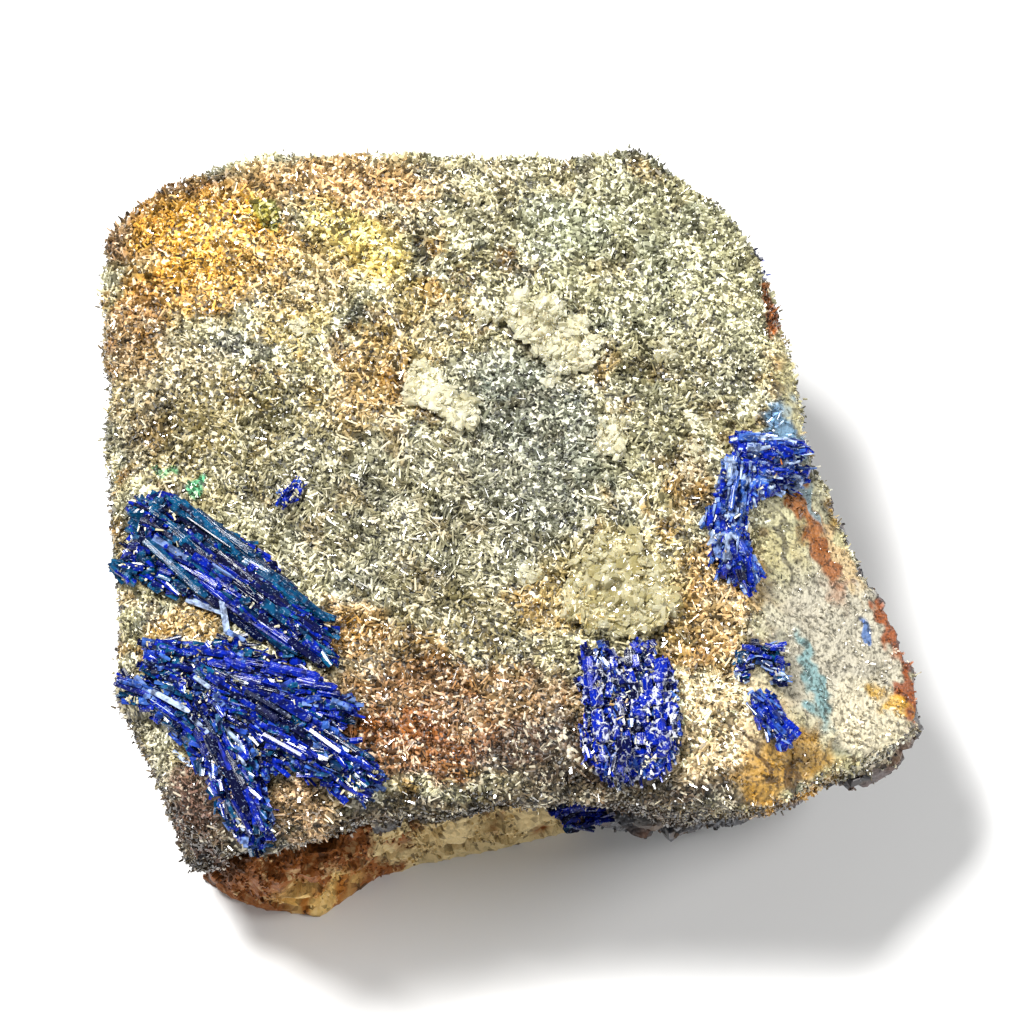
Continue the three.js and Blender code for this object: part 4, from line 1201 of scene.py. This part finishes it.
def nearest_headings(places, bundles):
    """The heading of the bundle that each place in plan lies closest to."""
    nearest = np.full(len(places), np.inf)
    headings = np.zeros((len(places), 2))
    for start, end, *_ in bundles:
        start, run = np.array(start) * MM, (np.array(end) - np.array(start)) * MM
        share = np.clip(((places - start) @ run) / (run @ run), 0, 1)
        gap = np.linalg.norm(places - start - share[:, None] * run, axis=1)
        closer = gap < nearest
        nearest[closer] = gap[closer]
        headings[closer] = run / np.linalg.norm(run)
    return headings


class BuildBlue(bpy.types.Operator):
    """Grows the blue blades over their solids"""

    bl_idname = "specimen.blue"
    bl_label = "Blue blades"

    def execute(self, context):
        blade = template_of(six_sided(0.5, 0.9))
        for number, (node, bundles) in enumerate(BLUE_BUNDLES.items()):
            rng = np.random.default_rng(SEED + 10 + number)
            sink = BURIED_SINK if node in HALF_BURIED else BLUE_SINK
            root = massive_root(rng, node, blue_crystal, "blue_crystal", sink, bundles[0][-2:], **BLUE_ROOT)
            self.grow_coat(rng, node, root, bundles)
            ground = Ground([root])
            made = [self.blades(rng, ground, *bundle) for bundle in bundles]
            parts = [np.concatenate(part) for part in zip(*made)]
            planted(node + "_blades", blue_crystal, "blue_crystal", blade, *parts)
        self.place_rods(blade)
        return {"FINISHED"}

    def grow_coat(self, rng, node, root, bundles):
        """Short crystals all over the massive part, lying the way that the nearest bundle does."""
        points, normals = points_of(root), normals_of(root)
        open_side = np.flatnonzero(normals[:, 2] > -0.3)
        chosen = rng.choice(open_side, int(COAT_SHARE * len(open_side)), replace=False)
        count = len(chosen)
        headings = nearest_headings(points[chosen][:, :2], bundles)
        along = np.column_stack([headings, np.zeros(count)]) + rng.normal(0, 0.26, (count, 3))
        along += normals[chosen] * rng.uniform(0.05, 0.45, (count, 1))
        axes = turned_axes(along, rng.normal(math.pi / 2, 0.6, count))
        size = COAT_SIZE.get(node, 1.0) * MM
        length = rng.uniform(0.4, 1.5, count) * size
        width = rng.uniform(0.2, 0.7, count) * size
        scales = np.stack([width * 0.4, width, length], axis=1)
        sunk = set_back(points[chosen], axes, 0.4 * length)
        lowest, highest = bundles[0][-2:]
        tints = rng.uniform(lowest, min(1.0, highest + 0.08), count)
        planted(node + "_coat", blue_crystal, "blue_crystal", four_sided(0.7), axes, sunk, scales, tints)

    def blades(self, rng, ground, start, end, spread, count, width, short, long, low, high):
        """Axes, roots, scales and tints of a bundle, whose blades lie together in plates."""
        start, end = np.array(start) * MM, np.array(end) * MM
        run = end - start
        length = np.linalg.norm(run)
        across = np.array([-run[1], run[0]]) / length
        share = rng.uniform(short, long, count)
        begin = rng.uniform(0, 1, count) * (1 - share)
        lane = rng.uniform(-0.5, 0.5, count)
        foot = start + run * begin[:, None] + across * (lane * spread * MM)[:, None]
        astray = across * rng.normal(0, 0.05 * length, count)[:, None]
        head = foot + run * share[:, None] + astray * share[:, None]
        lowest = ground.height(*(start + run * 0.5)) or 20 * MM
        heights = [[ground.height(*spot) or lowest for spot in spots.tolist()] for spots in (foot, head)]
        plates = max(2, int(spread / PLATE))
        plate = np.clip(((lane + 0.5) * plates).astype(int), 0, plates - 1)
        plate_tilts = rng.normal(0, 0.7, plates)
        lift = (rng.uniform(-0.2, 0.4, plates)[plate] + rng.uniform(-0.2, 0.25, count)) * MM
        low_end = np.column_stack([foot, np.array(heights[0]) + lift])
        high_end = np.column_stack([head, np.array(heights[1]) + lift])
        along = high_end - low_end
        axes = turned_axes(along, plate_tilts[plate] + rng.normal(0, 0.45, count))
        widths = width * MM * rng.uniform(0.5, 1.8, count)
        thick = widths * rng.uniform(0.4, 0.8, count)
        scales = np.stack([widths, thick, np.linalg.norm(along, axis=1)], axis=1)
        plate_tints = rng.uniform(low, high, plates)
        tints = np.clip(0.45 * plate_tints[plate] + 0.55 * rng.uniform(low, high, count), 0, 1)
        return axes, low_end, scales, tints

    def place_rods(self, blade):
        """The single pale rods, each laid on what lies under its two ends."""
        rng = np.random.default_rng(SEED + 30)
        ground = cluster_ground(BLUE_NODES + ("galena_matrix",))
        ends = np.array([[start, end] for start, end, _ in PALE_RODS]) * MM
        widths = np.array([width for *_, width in PALE_RODS]) * MM
        heights = np.array([[ground.height(*spot) or 20 * MM for spot in pair] for pair in ends.tolist()])
        low_end = np.column_stack([ends[:, 0], heights[:, 0] + 0.35 * MM])
        along = np.column_stack([ends[:, 1], heights[:, 1] + 0.45 * MM]) - low_end
        axes = turned_axes(along, rng.normal(0, 0.4, len(widths)))
        scales = np.stack([widths, widths * 0.6, np.linalg.norm(along, axis=1)], axis=1)
        tints = rng.uniform(0.9, 1.0, len(widths))
        planted("blue_pale_rods", blue_crystal, "blue_crystal", blade, axes, low_end, scales, tints)


# How clear the crystals of each pale mass are, from their cores on.
PALE_TINTS = {
    "pale_rosette_upper": (0.6, 1.0),
    "pale_cluster_left": (0.45, 1.0),
    "pale_cluster_right": (0.35, 0.95),
    "pale_mass_lower": (0.0, 0.6),
}
# Where small pale crystals stand alone in the crust: middle and radius (mm).
PALE_SPOTS = (
    (-1.4, 12.3, 0.9),
    (-3.3, 11.2, 0.5),
    (7.5, 3.4, 0.8),
    (1.7, -6.9, 0.9),
    (12.6, 2.0, 0.8),
    (-3.4, 4.4, 0.9),
    (-14.1, 11.2, 0.8),
    (3.0, 7.4, 0.6),
    (10.9, 9.6, 0.7),
    (5.4, -3.2, 0.5),
)


class BuildPale(bpy.types.Operator):
    """Grows the pale rosettes over their solids"""

    bl_idname = "specimen.pale"
    bl_label = "Pale rosettes"

    def execute(self, context):
        rng = np.random.default_rng(SEED + 40)
        shape = six_sided(0.6, 0.6)
        for vert in shape.verts:
            vert.co += Vector(rng.uniform(-0.07, 0.07, 3).tolist())
        template = template_of(shape)
        for node, tints in PALE_TINTS.items():
            root = massive_root(rng, node, pale_crystal, "pale_crystal", PALE_SINK, tints, **PALE_ROOT)
            points, normals = points_of(root), normals_of(root)
            top = np.flatnonzero(normals[:, 2] > 0.3)
            chosen = rng.choice(top, len(top) // 4, replace=False)
            self.tablets(rng, template, node + "_tablets", points[chosen], normals[chosen], tints)
        self.place_spots(rng, template)
        return {"FINISHED"}

    def tablets(self, rng, template, name, roots, normals, tints):
        """Thick tablets that lean every way out of their roots."""
        count = len(roots)
        axes = scattered_axes(rng, normals, 0.6)
        width = rng.uniform(0.25, 0.95, count) * MM
        thick = rng.uniform(0.35, 0.75, count) * MM
        scales = np.stack([width, width * rng.uniform(0.2, 0.6, count), thick], axis=1)
        sunk = set_back(roots, axes, 0.6 * thick)
        tinted = rng.uniform(*tints, count)
        planted(name, pale_crystal, "pale_crystal", template, axes, sunk, scales, tinted)

    def place_spots(self, rng, template):
        """The small pale crystals that stand alone."""
        ground = Ground([bpy.data.objects["crusted_rock"].data])
        spots = []
        for x, y, radius in PALE_SPOTS:
            around = np.array([x, y]) + rng.normal(0, 0.5, (int(26 * radius**2) + 3, 2)) * radius
            spots += [(*place, ground.height(*place) + 0.15 * MM) for place in (around * MM).tolist()]
        upright = np.tile((0.0, 0.0, 1.0), (len(spots), 1))
        self.tablets(rng, template, "pale_scatter", np.array(spots), upright, (0.3, 1.0))


class BuildStage(bpy.types.Operator):
    """Lays the floor and sets the lights and the camera"""

    bl_idname = "specimen.stage"
    bl_label = "Stage"

    def execute(self, context):
        self.lay_floor()
        self.set_lights()
        self.set_camera()
        bpy.context.scene.view_settings.view_transform = "Standard"
        return {"FINISHED"}

    def lay_floor(self):
        shape = bmesh.new()
        bmesh.ops.create_grid(shape, x_segments=1, y_segments=1, size=1.5)
        mesh = bpy.data.meshes.new("floor")
        shape.to_mesh(mesh)
        shape.free()
        floor = bpy.data.objects.new("floor", mesh)
        bpy.context.scene.collection.objects.link(floor)
        material, tree = shader_tree("Paper, matt")
        mesh.materials.append(surfaced(material, tree, {"Base Color": colours().floor, "Roughness": 0.9}))

    def set_lights(self):
        world = bpy.context.scene.world or bpy.data.worlds.new("studio")
        bpy.context.scene.world = world
        world.use_nodes = True
        world.node_tree.nodes.clear()
        air = add(world.node_tree, "ShaderNodeBackground", {"Color": linear("#dfe4ea"), "Strength": 0.22})
        add(world.node_tree, "ShaderNodeOutputWorld", {"Surface": air.outputs[0]})
        # A softbox from the upper left and back, a weaker one from the right, and a strip from the front.
        boxes = (
            ("key", (-0.2, 0.14, 0.5), 0.14, 5.6),
            ("fill", (0.4, 0.0, 0.45), 0.2, 1.9),
            ("front", (0.05, -0.5, 0.28), 0.3, 0.7),
        )
        for name, place, width, power in boxes:
            lamp = bpy.data.lights.new(name, "AREA")
            lamp.shape = "SQUARE"
            lamp.size = width
            lamp.energy = power
            light = bpy.data.objects.new(name, lamp)
            light.location = place
            aim = Vector((0, 0, 15 * MM)) - light.location
            light.rotation_euler = aim.to_track_quat("-Z", "Y").to_euler()
            bpy.context.scene.collection.objects.link(light)

    def set_camera(self):
        lens = bpy.data.cameras.new("camera")
        lens.lens = CAMERA_LENS
        lens.sensor_width = 36
        lens.clip_start = 0.01
        lens.clip_end = 20
        camera = bpy.data.objects.new("camera", lens)
        back = Vector((0, -math.cos(CAMERA_ELEVATION), math.sin(CAMERA_ELEVATION)))
        camera.location = CAMERA_TARGET + back * CAMERA_DISTANCE
        camera.rotation_euler = (-back).to_track_quat("-Z", "Y").to_euler()
        bpy.context.scene.collection.objects.link(camera)
        bpy.context.scene.camera = camera


class SpecimenPanel(bpy.types.Panel):
    """Lists the specimen's pieces, sizes and colours"""

    bl_idname = "VIEW3D_PT_specimen"
    bl_label = "Specimen"
    bl_space_type = "VIEW_3D"
    bl_region_type = "UI"
    bl_category = "Specimen"

    def draw(self, context):
        column = self.layout.column()
        for operator in OPERATORS:
            column.operator(operator.bl_idname)
        for group in (sizes(), colours()):
            for name in group.__annotations__:
                column.prop(group, name)


OPERATORS = (BuildRock, BuildCrust, BuildSides, BuildSeam, BuildBlue, BuildPale, BuildStage)
CLASSES = (SpecimenSizes, SpecimenColours, *OPERATORS, SpecimenPanel)


def register():
    for cls in CLASSES:
        bpy.utils.register_class(cls)
    bpy.types.Scene.specimen_sizes = bpy.props.PointerProperty(type=SpecimenSizes)
    bpy.types.Scene.specimen_colours = bpy.props.PointerProperty(type=SpecimenColours)


def unregister():
    del bpy.types.Scene.specimen_colours
    del bpy.types.Scene.specimen_sizes
    for cls in reversed(CLASSES):
        bpy.utils.unregister_class(cls)


def main():
    register()
    bpy.ops.specimen.rock()
    bpy.ops.specimen.crust()
    bpy.ops.specimen.sides()
    bpy.ops.specimen.seam()
    bpy.ops.specimen.blue()
    bpy.ops.specimen.pale()
    bpy.ops.specimen.stage()


if __name__ == "__main__":
    main()
